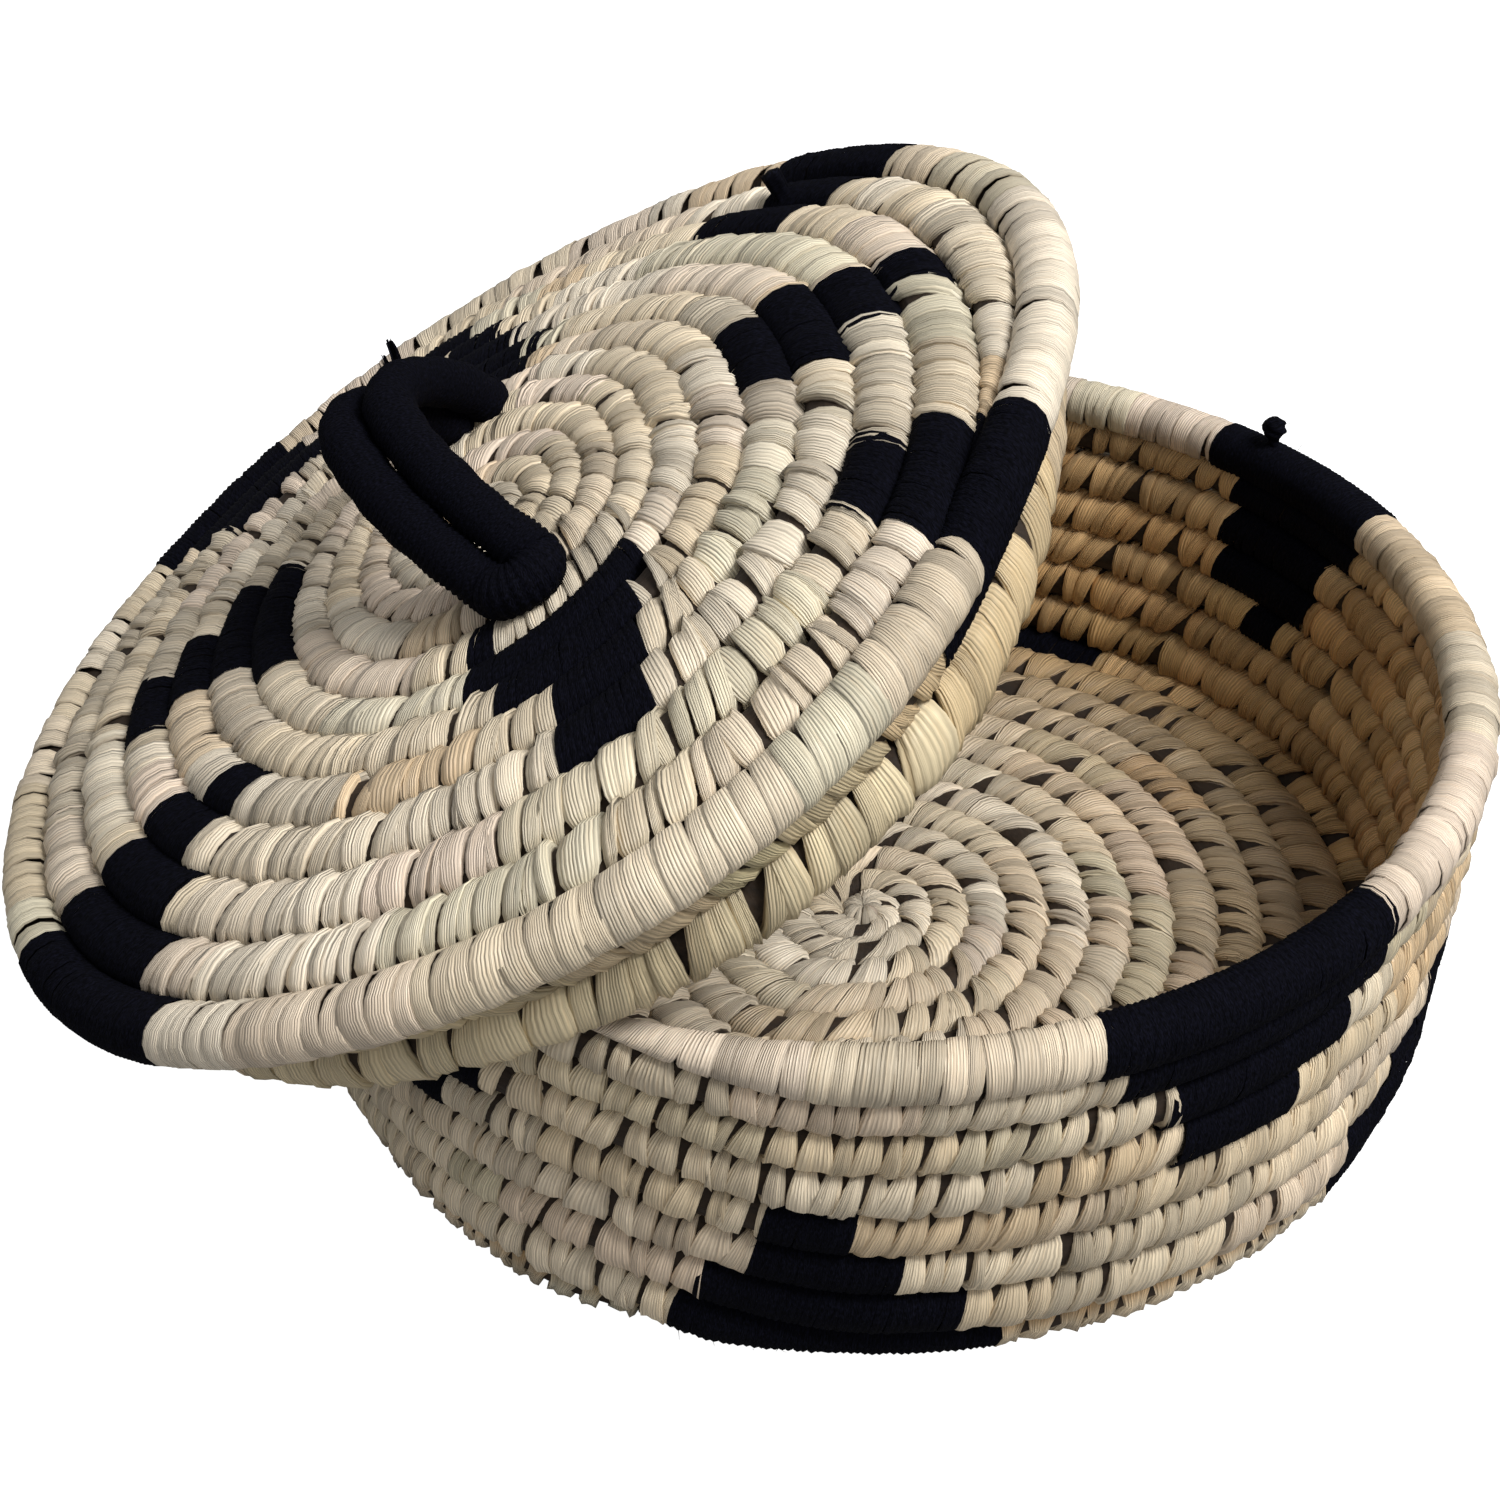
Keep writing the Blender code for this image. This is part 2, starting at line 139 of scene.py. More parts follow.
# Handle
HANDLE_ROPE = 0.0094
HANDLE_SPAN = 0.0825
HANDLE_RISE = 0.0239
HANDLE_LEAN = -0.0105
HANDLE_TURN = math.radians(11.2)
HANDLE_MIDDLE = (0.0056, 0.0009)
HANDLE_ARCH_POWER = 0.7
HANDLE_FAR_MOVE = (0.0042, -0.0030, -0.0020)
HANDLE_MOVE = (-0.0012, -0.0008, 0.0)
HANDLE_FAR_PINCH = 0.003
HANDLE_FIBRES = 900
# Loose ends of its yarn: root, reach and number of strands, then how far roots and bends scatter
HANDLE_WISPS = (
    ((-0.0010, 0.0208, 0.0396), (-0.0002, 0.0058, 0.0036), 9),
    ((-0.0017, 0.0144, 0.0418), (0.0, 0.0036, 0.0026), 4),
)
WISP_SCATTER = (0.0006, 0.0004, 0.0003)
WISP_BEND = (0.0008, -0.0006, 0.0008)

# Yarn, and the fibres that stand off it. One in four is longer, and their bends and tips rise
# from the yarn by a share of their length.
THREAD = 0.0013
FIBRE = 0.00013
FIBRE_LENGTHS = (0.0008, 0.0035)
FIBRE_STRETCHES = (1, 1, 1, 1.6)
BEND_RISE = (0.1, 0.5)
TIP_RISE = (-0.1, 0.5)
LOWEST_FIBRE = 0.0003

# Ball of yarn on the basket's rim, and the stalk on which it sits. Its height is from the foot.
RIM_KNOT_AZIMUTH = math.radians(38.6)
RIM_KNOT_FOOT = 0.0795
RIM_KNOT_RADIUS = 0.0032
RIM_KNOT_BALL_HEIGHT = 0.0066
RIM_KNOT_BALL = 0.86 * RIM_KNOT_RADIUS
RIM_KNOT_STALK = 0.0013
RIM_KNOT_FIBRES = 90

# Stub of cut yarn on the lid
LID_KNOT_AZIMUTH = math.radians(44)
LID_KNOT_INSET = 0.0136
LID_KNOT_RADIUS = 0.0022
LID_KNOT_HEIGHT = 0.0066
LID_KNOT_FIBRES = 60

# How the hand-made pieces differ from true rounds. The base has slipped and has dents, by azimuth
# in degrees, and both fade out towards a height.
BASE_SLIP = (-0.0014, -0.0006)
BASE_DENTS = (
    (195, 0.0),
    (215, -0.0010),
    (240, 0.0014),
    (263, -0.0006),
    (285, 0.0006),
    (310, 0.0018),
    (330, 0.0004),
    (350, -0.0014),
    (370, -0.0012),
    (395, 0.0),
)
BASE_REACH = 0.06
# Waves of the lid's outline and of its height: waves in a round, cosine part, sine part
LID_WAVES = (
    (0, -0.0023, 0.0000),
    (1, 0.0054, -0.0150),
    (2, -0.0043, 0.0027),
    (3, 0.0003, 0.0092),
    (4, 0.0056, 0.0115),
    (5, 0.0038, 0.0043),
    (6, 0.0028, -0.0023),
)
LID_LIFTS = ((2, 0.00073, 0.00027), (3, -0.00025, 0.00047))

# The photograph's camera, in metres, radians and millimetres
CAMERA_PLACE = (0.0, -0.3976, 0.35005)
CAMERA_YAW = -0.0644
CAMERA_PITCH = 0.6429
CAMERA_ROLL = -0.0532
CAMERA_LENS = 54.03
CAMERA_SENSOR = 36.0

# Light and floor of the studio
LAMP_PLACE = (0.62, -0.36, 1.1)
LAMP_AIM = (0, 0, 0.05)
LAMP_SIZE = 0.5
LAMP_POWER = 19.0
WORLD_LIGHT = 0.56
FLOOR_SIZE = 3.0
FLOOR_TONE = 0.3

# Black patches of the basket, as spans of azimuth in degrees. The first row is the rim.
BASKET_PATCHES = {
    0: ((288.5, 317), (22, 44), (116, 144), (207, 236)),
    1: ((290, 316), (23, 43), (119, 141), (210, 235)),
    2: ((294, 312), (26, 43), (122, 139), (213, 235)),
    3: ((298, 308), (28, 41), (125, 135), (217, 231)),
    4: ((261, 268.5), (331, 347), (31, 37), (79, 91), (154, 163)),
    5: ((260, 273), (324, 350), (75, 95), (151, 166)),
    6: ((253.5, 277.5), (318, 353), (71, 98), (148, 169)),
    7: ((250, 280.5), (316, 356), (58, 100), (145, 172)),
}
# The same for the lid, and for the ring, whose row after the rim is the dip under the lid
LID_PATCHES = {
    0: ((33, 48), (209, 232.5), (123, 142), (317, 335)),
    1: ((34, 46), (321, 334.5), (209, 227.5), (120, 141)),
    2: ((37, 53), (321, 332.5), (210, 224), (121, 137), (3, 9), (94, 101)),
    3: ((211, 222), (357, 373), (174, 186), (281.5, 291.5), (87, 98)),
    4: ((216, 224), (353, 376), (168, 185), (82, 96), (282.5, 296.5)),
    5: ((352, 375), (162, 188), (77, 98), (275, 301.5)),
    6: ((157, 198), (78, 102), (270.5, 306)),
    7: ((269, 274.5),),
}
RING_PATCHES = {0: LID_PATCHES[0], -1: ((300, 317.5),)}
# The basket's patches up to this azimuth, in degrees, are seen from inside
SEEN_INSIDE = 110

# A strip's mesh, and a wrap's: columns across it, and rings once round the cord
LEAF_GRID = (6, 13)
YARN_GRID = (2, 13)

# Strips of each piece: middle width, and how much the widths vary
FLOOR_STRIP = (0.0050, 0.28)
WALL_STRIP = (0.0048, 0.28)
RIM_STRIP = (0.0042, 0.15)
LID_STRIP = (0.0044, 0.30)
LID_RIM_STRIP = (0.0046, 0.15)
UPPER_STRIP = (0.0050, 0.20)
LOWER_STRIP = (0.0062, 0.25)

# How a strip lies. It rises on the cord's inside face from its foot, at the row before, to its
# head, at the next row, and goes back down the outside face. Spreads are standard deviations.
SQUARE = 0.74
BASKET_LEAF = {
    # Where its outer creases are, as a share of its half width
    "shoulder": 0.94,
    # How far it leans along the cord on each face, and how far its foot is bent back
    "lean_inside": 0.0052,
    "lean_outside": -0.0036,
    "lean_spread": 0.40,
    "hook": 0.0012,
    # Its share of its width from foot to head
    "fat_outside": (1.08, 1.14, 1.08, 0.80, 0.50),
    "fat_inside": (0.45, 0.70, 1.02, 1.12, 0.95),
    # Spread of its tightness, rise of its middle, spreads of creases and tilt, drop of its edges
    "loose": 0.035,
    "bulge": 0.00026,
    "fold": 0.00028,
    "tilt": 0.00030,
    "sink": 0.0020,
    # Its size as shares of the cord's, the reach of its foot, and how square its round is
    "high": 0.90,
    "wide": 1.02,
    "foot": 0.0008,
    "square": SQUARE,
}
# The shares from foot to head at which the widths stand
FAT_AT = (0, 0.2, 0.5, 0.8, 1)
LID_LEAF = dict(
    BASKET_LEAF,
    lean_outside=0.0046,
    lean_inside=-0.0046,
    fat_outside=(0.80, 1.02, 1.12, 0.98, 0.50),
    fat_inside=(0.6, 0.8, 1.0, 1.05, 0.9),
)
RIM_LEAF = dict(
    BASKET_LEAF,
    lean_outside=-0.0022,
    lean_inside=0.0022,
    fat_outside=(0.80, 0.96, 1.14, 1.16, 1.16),
    fat_inside=(0.80, 0.96, 1.14, 1.16, 1.16),
    bulge=0.00010,
    fold=0.00008,
    tilt=0.00008,
    sink=0.0004,
    high=0.98,
    wide=0.98,
    square=0.92,
)
LID_RIM_LEAF = dict(RIM_LEAF, lean_outside=0.003, lean_inside=-0.003)
UPPER_LEAF = dict(
    LID_LEAF,
    lean_outside=-0.007,
    lean_inside=0.006,
    hook=0.0,
    wide=1.08,
    fat_outside=(1.0, 1.1, 1.1, 1.0, 0.8),
)
LOWER_LEAF = dict(
    LID_LEAF,
    lean_outside=0.005,
    lean_inside=-0.005,
    lean_spread=0.35,
    hook=0.0,
    wide=1.10,
    fold=0.0003,
    fat_outside=(0.84, 1.02, 1.2, 1.1, 0.7),
)
YARN_WRAP = dict(
    BASKET_LEAF,
    shoulder=0.7,
    fat_outside=(1.15, 1.15, 1.15, 1.15, 1.15),
    fat_inside=(1.15, 1.15, 1.15, 1.15, 1.15),
    lean_spread=0.06,
    loose=0.015,
    bulge=0.00022,
    fold=0.00003,
    tilt=0.0,
    sink=0.00012,
    hook=0.0,
)
# Yarn stands out past the leaf beside it by these shares of the cord
YARN_WIDER = 0.03
YARN_HIGHER = 0.05
# Leaf strips beside yarn are no looser than this
TIGHT = 0.97
# The rises of a strip are smaller on a cord with less half width than this
FULL_HALF_WIDTH = 0.0052


def srgb(red, green, blue):
    """A colour as seen on a screen, 0 to 255, as a linear colour."""
    return tuple(((c / 255 + 0.055) / 1.055) ** 2.4 for c in (red, green, blue))


# Tones of dry leaf, and how often each comes
LEAF_TONES = (
    (srgb(232, 220, 199), 0.30),
    (srgb(219, 202, 173), 0.24),
    (srgb(211, 204, 178), 0.09),
    (srgb(222, 203, 184), 0.16),
    (srgb(199, 187, 166), 0.13),
    (srgb(211, 183, 145), 0.08),
)
# One leaf makes 3 to 10 strips, and its tone has up to half of another in it. All tones lean to
# the mean, and each strip has its own brightness.
STRIPS_OF_A_LEAF = (3, 11)
MOST_OF_OTHER = 0.5
TONE_STRENGTH = 0.78
BRIGHTNESS = (0.76, 1.12)

# Tints, first of the face that is outside and then of the inside. The collar is greener and
# darker, and the wall yellower outside. The wall's brown inside and the floor's browning towards
# the wall are painted shade, dark and warm like light bounced inside the basket.
PLAIN = ((1, 1, 1), (1, 1, 1))
COLLAR_TINTS = ((0.80, 0.76, 0.62), (1, 1, 1))
WALL_TONE_AND_INSIDE_SHADE = ((1.0, 0.97, 0.91), (0.95, 0.70, 0.42))
FLOOR_INSIDE_SHADE = ((1, 1, 1), (0.62, 0.51, 0.37))
# The painted shade inside the basket grows from this radius on, over this reach
INSIDE_SHADE_START = 0.035
INSIDE_SHADE_REACH = 0.070

LEAF_BROWN = srgb(146, 116, 78)
# Painted shade along the strips' edges
LEAF_EDGE_SHADE = srgb(62, 42, 24)
# The bundle's grass, darkened past its own brown as painted shade in the deep gaps
GRASS_DARK_SHADED = srgb(10, 7, 4)
GRASS_PALE_SHADED = srgb(50, 35, 20)
# Black yarn. Its pale tone is partly its own navy colour and partly painted bluish sheen
YARN_DARK = (0.0007, 0.0007, 0.0013)
YARN_PALE_SHEEN = (0.0050, 0.0053, 0.0115)


def eased(ratio):
    """A ratio held between 0 and 1, with a slow start and a slow end."""
    held = np.clip(ratio, 0, 1)
    return held * held * (3 - 2 * held)


def round_axis(radius, azimuth, height):
    """Points, or directions, by their distance from the axis, azimuth and height."""
    return np.stack([radius * np.cos(azimuth), radius * np.sin(azimuth), height], -1)


def unit(vectors):
    """The vectors at a length of 1."""
    return vectors / (np.linalg.norm(vectors, axis=1)[:, None] + 1e-12)


def along_route(where, marks, route):
    """Places along a route, where its points have these marks."""
    return np.stack([np.interp(where, marks, route[:, k]) for k in range(3)], -1)


class Cord:
    """The route of a wound cord: its centre, the way to the next row and the way out of its face.

    It starts as a spiral and settles into level rows. A row steps on to the next in a short
    stretch of each turn, and the last row tapers to nothing over that stretch.
    """

    def __init__(self, profile, length, cord, step_azimuth, settle, outside, place, stretch, moves,
                 rows_past):
        self.first = START_KNOT_RADIUS + TURN_GAP + START_CORD / 2
        self.start_pitch = START_CORD + TURN_GAP
        grown = length - self.first - self.start_pitch * START_TURNS
        self.rows = round(grown / (cord + TURN_GAP) + START_TURNS)
        self.pitch = grown / (self.rows - START_TURNS)
        self.profile = profile
        self.step_azimuth = step_azimuth
        self.settle = settle
        self.outside = outside
        self.place = place
        self.stretch = stretch
        self.rows_from_rim = self.rows + rows_past
        self.move_rows = [self.rows_from_rim - row for row, _, _ in moves]
        self.moves = [move[1:] for move in moves]

    def row(self, turn):
        """The row that a turn is in, with parts of rows where it steps on."""
        whole = np.floor(turn)
        part = turn - whole
        late = eased((part - 1 + self.stretch) / self.stretch)
        settled = np.clip(turn / self.settle, 0, 1)
        return whole + (1 - settled) * part + settled * late

    def distance(self, row, turn):
        """How far from the middle a row lies, measured over the profile."""
        lag = (self.pitch - self.start_pitch) * START_TURNS * (1 - np.exp(-row / START_TURNS))
        beside, before = (np.interp(row, self.move_rows, moves) for moves in zip(*self.moves))
        facing = np.sin(self.step_azimuth - math.tau * turn) ** 2
        return self.first + self.pitch * row - lag + beside * (1 - facing) + before * facing

    def radius(self, turn):
        return self.profile(self.distance(np.minimum(self.row(turn), self.rows), turn))[0]

    def half_width(self, turn):
        """Half the way from row to row after so many turns."""
        return (self.distance(turn + 0.5, turn) - self.distance(turn - 0.5, turn)) / 2

    def section(self, turn):
        """Centre, way to the next row, way out of the face, and what is left of the last row."""
        row = self.row(turn)
        left = np.where(turn > self.rows, 1 - (self.row(turn - 1) - (self.rows - 1)), 1.0)
        left = np.clip(left, 0, 1)
        distance = self.distance(np.minimum(row, self.rows), turn)
        last = row > self.rows - 1e-6
        distance = distance + np.where(last, self.pitch * (1 - left) / 2, 0)
        radius, height, slope = self.profile(distance)
        azimuth = self.step_azimuth - math.tau * turn
        across = round_axis(np.cos(slope), azimuth, np.sin(slope))
        out = round_axis(-np.sin(slope), azimuth, np.cos(slope))
        return round_axis(radius, azimuth, height), across, out * self.outside, left

    def surface(self, turn, angle, high, wide, square=SQUARE):
        """Points round the cord. The angle is 0 out of the face and grows to the next row."""
        centre, across, out, left = self.section(turn)
        up, side = np.cos(angle), np.sin(angle)
        up = np.sign(up) * np.abs(up) ** square * high * left ** 0.5
        side = side * wide * left
        return self.place(centre + out * up[..., None] + across * side[..., None])


class Ring(Cord):
    """The lid's rim, and the two rows of the collar under it, as one cord with blunt ends."""

    def __init__(self, place):
        _, top_row, slope = lid_profile(LID_LAST_ROW)
        self.rim_height = float(top_row + LID_CORD / 2 * math.sin(slope))
        self.drop = float((LID_CORD * OVER_FLATS + COLLAR_CORD) / 2 + SEWN_GAP - top_row)
        self.step_azimuth = LID_STEP_AZIMUTH
        self.rows_from_rim = 0
        self.stretch = 0
        self.outside = 1
        self.place = place

    def half_width(self, turn):
        return np.full(np.shape(turn), LID_RIM_CORD / 2)

    def levels(self, turn):
        """How far the cord has dipped from the rim to the first row and on to the second."""
        return [eased((turn - start) / length) for start, length in (FIRST_DIP, SECOND_DIP)]

    def radius(self, turn):
        down, second = self.levels(turn)
        low_side = np.cos(self.step_azimuth - math.tau * turn - COLLAR_TUCK_AZIMUTH)
        tuck = COLLAR_TUCK * np.maximum(low_side, 0) * (down + second) / 2
        return LID_RADIUS + (COLLAR_RADIUS - LID_RADIUS) * down - tuck

    def section(self, turn):
        down, second = self.levels(turn)
        pitch = COLLAR_CORD + TURN_GAP
        height = self.rim_height - (self.rim_height + self.drop) * down - pitch * second
        slope = -math.pi / 2 * down - RING_LEAN
        azimuth = self.step_azimuth - math.tau * turn
        across = round_axis(np.cos(slope), azimuth, np.sin(slope))
        out = round_axis(-np.sin(slope), azimuth, np.cos(slope))
        from_end = np.minimum(turn - RING_START, RING_END - turn)
        blunt = 1 - np.clip(1 - from_end / RING_BLUNT, 0, 1) ** 2
        return round_axis(self.radius(turn), azimuth, height), across, out, np.sqrt(blunt)


def wall_line():
    """Radius where the corner starts, and the wall's length and lean, in the basket's profile."""
    corner = BASE_RADIUS - CORNER_RADIUS
    reach = (RIM_RADIUS - corner, RIM_HEIGHT - BASKET_CORD / 2 - CORNER_RADIUS)
    wall = math.sqrt(reach[0] ** 2 + reach[1] ** 2 - CORNER_RADIUS**2)
    return corner, wall, math.atan2(reach[1], reach[0]) + math.atan2(CORNER_RADIUS, wall)


CORNER_START, WALL_LENGTH, WALL_LEAN = wall_line()


def basket_profile(distance):
    """Radius, height and slope along the middle line of the floor, the corner and the wall."""
    slope = np.clip((distance - CORNER_START) / CORNER_RADIUS, 0, WALL_LEAN)
    up = np.maximum(distance - CORNER_START - CORNER_RADIUS * WALL_LEAN, 0)
    radius = np.minimum(distance, CORNER_START)
    radius = radius + CORNER_RADIUS * np.sin(slope) + up * math.cos(WALL_LEAN)
    height = BASKET_CORD / 2 + CORNER_RADIUS * (1 - np.cos(slope)) + up * math.sin(WALL_LEAN)
    return radius, height, slope


def lid_profile(radius):
    """Radius, height and slope of the dome, a parabola."""
    share = radius / LID_RADIUS
    return radius, LID_DOME * (1 - share**2), np.arctan2(-2 * LID_DOME * share, LID_RADIUS)


def basket_place(points):
    """From the basket's winding to its place, pressed flat where it stands."""
    low = np.clip(1 - points[..., 2:] / BASE_REACH, 0, 1)
    azimuth = np.degrees(np.arctan2(points[..., 1], points[..., 0]))
    azimuths, dents = zip(*BASE_DENTS)
    dent = np.interp(azimuth, azimuths, dents, period=360)[..., None] * low * np.array([1, 1, 0])
    points = points + points * dent / BASE_RADIUS
    points = points - np.array([0, 0, CUT_OFF_BELOW]) + low * np.array([*BASE_SLIP, 0])
    points[..., 2] = np.maximum(points[..., 2], LOWEST_CORD)
    return points


def lid_matrix():
    """How the lid leans. Its height comes from the knot in the middle of the lid's solid."""
    axis = Vector((-math.sin(LID_TILT_AZIMUTH), math.cos(LID_TILT_AZIMUTH), 0))
    turned = Matrix.Rotation(LID_TILT, 4, axis)
    turned = turned @ Matrix.Rotation(LID_TILT_AZIMUTH - math.pi, 4, "Z")
    low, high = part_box("lid_start_knot")
    height = ((low + high) / 2).z - (turned @ Vector((0, 0, LID_DOME))).z
    return Matrix.Translation((*LID_PLACE, height)) @ turned


LID_MATRIX = lid_matrix()
LID_AXES = np.array(LID_MATRIX.to_3x3())
LID_SHIFT = np.array(LID_MATRIX.translation)


def waves(parts, azimuth):
    """A sum of waves round the lid."""
    return sum(a * np.cos(n * azimuth) + b * np.sin(n * azimuth) for n, a, b in parts)


def lid_place(points):
    """From the lid's own frame to its place, with the slight waves of its outline."""
    azimuth = np.arctan2(points[..., 1], points[..., 0])
    share = np.hypot(points[..., 0], points[..., 1]) / LID_RADIUS
    to_edge = np.clip(share, 0, 1) ** 2
    wavy = points.copy()
    wavy[..., :2] *= (1 + waves(LID_WAVES, azimuth) * to_edge)[..., None]
    wavy[..., 2] += waves(LID_LIFTS, azimuth) * to_edge
    return wavy @ LID_AXES.T + LID_SHIFT


def is_black(patches, row_from_rim, azimuth):
    """Whether places, by row and azimuth in degrees, lie in the patches' spans."""
    black = np.zeros(azimuth.shape, bool)
    for row, spans in patches.items():
        for low, high in spans:
            black |= (row_from_rim == row) & ((azimuth - low) % 360 < high - low)
    return black


def repeated_grid(count, columns, rings):
    """Many copies of one square of faces, each with its own map, in order.

    Gives the mesh, and for each vertex which copy it is in and how far across and along it lies.
    """
    bm = bmesh.new()
    bm.loops.layers.uv.new("UVMap")
    bmesh.ops.create_grid(bm, x_segments=columns, y_segments=rings, size=0.5, calc_uvs=True)
    per_copy = len(bm.verts)
    kinds = (bm.verts, bm.edges, bm.faces)
    sizes = [len(kind) for kind in kinds]
    done = 1
    while done < count:
        more = min(done, count - done)
        geometry = []
        for kind, size in zip(kinds, sizes):
            kind.ensure_lookup_table()
            geometry += kind[: size * more]
        bmesh.ops.duplicate(bm, geom=geometry)
        done += more
    mesh = bpy.data.meshes.new("grid")
    bm.to_mesh(mesh)
    bm.free()
    flat = np.empty(len(mesh.vertices) * 3)
    mesh.vertices.foreach_get("co", flat)
    flat = flat.reshape(-1, 3)
    which = np.arange(len(flat)) // per_copy
    return mesh, which, flat[:, 0] + 0.5, flat[:, 1] + 0.5


def add_object(name, data):
    """An object of the scene."""
    made = bpy.data.objects.new(name, data)
    bpy.context.scene.collection.objects.link(made)
    return made


def finish_piece(name, mesh, points, body, node_names, finish, tones=None):
    """A piece from its mesh and its points. It rides on a body and stands for the nodes named."""
    slot, material = finish
    mesh.name = name
    mesh.vertices.foreach_set("co", points.reshape(-1))
    if tones is not None:
        layer = mesh.attributes.new("tone", "FLOAT_COLOR", "POINT")
        layer.data.foreach_set("color", tones.reshape(-1))
    mesh.update()
    mesh.shade_smooth()
    mesh.materials.append(material)
    piece = add_object(name, mesh)
    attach(piece, body)
    if node_names:
        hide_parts(*node_names)
    return piece


def own_numbers(numbers):
    """The tone of yarn, of which only the last value is read, each wrap's own number."""
    tones = np.zeros((len(numbers), 4))
    tones[:, 3] = numbers
    return tones


class Socket:
    """A shader value that the usual operators work on."""

    def __init__(self, material, output):
        self.material = material
        self.output = output

    def math(self, operation, *values):
        settings, sockets = {"operation": operation}, dict(enumerate(values))
        node = self.material.node("ShaderNodeMath", settings, sockets)
        return self.material.out(node, 0)

    def __add__(self, other):
        return self.math("ADD", self, other)

    __radd__ = __add__

    def __sub__(self, other):
        return self.math("SUBTRACT", self, other)

    def __rsub__(self, other):
        return self.math("SUBTRACT", other, self)

    def __mul__(self, other):
        return self.math("MULTIPLY", self, other)

    __rmul__ = __mul__

    def sine(self):
        return self.math("SINE", self)

    def absolute(self):
        return self.math("ABSOLUTE", self)

    def smooth(self, low, high):
        """0 below one value, 1 above another, and smooth between them."""
        settings = {"interpolation_type": "SMOOTHSTEP"}
        sockets = {"Value": self, "From Min": low, "From Max": high}
        node = self.material.node("ShaderNodeMapRange", settings, sockets)
        return self.material.out(node, "Result")


class Material:
    """A material under construction."""

    def __init__(self, name, roughness, specular=0.35):
        self.material = bpy.data.materials.new(name)
        self.material.use_nodes = True
        self.tree = self.material.node_tree
        self.shader = self.tree.nodes["Principled BSDF"]
        self.shader.inputs["Roughness"].default_value = roughness
        self.shader.inputs["Specular IOR Level"].default_value = specular

    def node(self, kind, settings, sockets):
        """Any node: its settings first, then its sockets' values or links, by name or number."""
        node = self.tree.nodes.new(kind)
        for name, value in settings.items():
            setattr(node, name, value)
        for name, value in sockets.items():
            socket = node.inputs[name]
            if isinstance(value, Socket):
                self.tree.links.new(value.output, socket)
            elif socket.type == "RGBA":
                socket.default_value = (*value, 1.0)
            else:
                socket.default_value = value
        return node

    def out(self, node, name):
        return Socket(self, node.outputs[name])

    def feed(self, name, value):
        self.tree.links.new(value.output, self.shader.inputs[name])

    def mix(self, share, first, second):
        """A colour between two colours. The colour sockets of a Mix node go by number."""
        node = self.node("ShaderNodeMix", {"data_type": "RGBA"}, {0: share, 6: first, 7: second})
        return self.out(node, 2)

    def scaled(self, colour, factor):
        """A colour times a number."""
        sockets = {0: colour, "Scale": factor}
        node = self.node("ShaderNodeVectorMath", {"operation": "SCALE"}, sockets)
        return self.out(node, 0)

    def noise(self, x, y, z, detail):
        """Noise at a place put together from three values."""
        place = self.out(self.node("ShaderNodeCombineXYZ", {}, {"X": x, "Y": y, "Z": z}), 0)
        sockets = {"Vector": place, "Scale": 1.0, "Detail": detail}
        return self.out(self.node("ShaderNodeTexNoise", {}, sockets), 0)

    def bump(self, height, strength, distance):
        sockets = {"Height": height, "Strength": strength, "Distance": distance}
        self.feed("Normal", self.out(self.node("ShaderNodeBump", {}, sockets), 0))

    def map(self):
        """Across and along values of the piece's own map."""
        place = self.out(self.node("ShaderNodeUVMap", {"uv_map": "UVMap"}, {}), 0)
        parts = self.node("ShaderNodeSeparateXYZ", {}, {"Vector": place})
        return self.out(parts, "X"), self.out(parts, "Y")

    def tone(self):
        """The strip's colour and its own number between 0 and 1."""
        node = self.node("ShaderNodeAttribute", {"attribute_name": "tone"}, {})
        return self.out(node, "Color"), self.out(node, "Alpha")


def palm_leaf():
    """Dry leaf with fine veins along each strip, with painted shade at its edges where strips meet.
    """
    leaf = Material("dry palm leaf", 0.45)
    across, along = leaf.map()
    colour, own = leaf.tone()
    # From 11 to 16 veins, which wander, with fine fibres and broad stains between them
    wander = leaf.noise(across * 2.5, along * 3.0, own * 60.0, detail=1.0)
    vein = ((across * (11.0 + own * 5.0) + wander * 0.9) * math.tau).sine()
    fine = leaf.noise(across * 30.0, along * 2.0, own * 90.0, detail=3.0)
    broad = leaf.noise(across * 4.0, along * 2.5, own * 40.0 + 9.0, detail=2.0)
    shade = 0.30 + fine * 0.74 + broad * 0.52 + vein * 0.16
    brown = fine.smooth(0.54, 0.74) * 0.30 + broad.smooth(0.55, 0.8) * 0.25
    colour = leaf.mix(brown, colour, LEAF_BROWN)
    # Painted shade: each strip darkens to a brown line at its edges, where it meets the next
    edge_shade = ((across - 0.5).absolute() * 2.0).smooth(0.80, 1.0)
    colour = leaf.mix(edge_shade * 0.9, colour, LEAF_EDGE_SHADE)
    leaf.feed("Base Color", leaf.scaled(colour, shade))
    leaf.bump(vein * 0.35 + fine * 1.7, 0.85, 0.00033)
    return leaf.material


def black_yarn():
    """Matt black yarn, with fibres that run askew along each wrap. Its pale bluish fibres are
    partly the yarn's own tone and partly painted sheen.
    """
    yarn = Material("black yarn", 0.85, specular=0.04)
    across, along = yarn.map()
    _, own = yarn.tone()
    fibre = yarn.noise(across * 9.0 + along * 30.0, along * 40.0, own * 70.0, detail=3.0)
    # Pale bluish fibres: partly the yarn's own tone, partly painted sheen
    yarn.feed("Base Color", yarn.mix(fibre.smooth(0.35, 0.8), YARN_DARK, YARN_PALE_SHEEN))
    yarn.bump(fibre, 0.8, 0.0004)
    return yarn.material


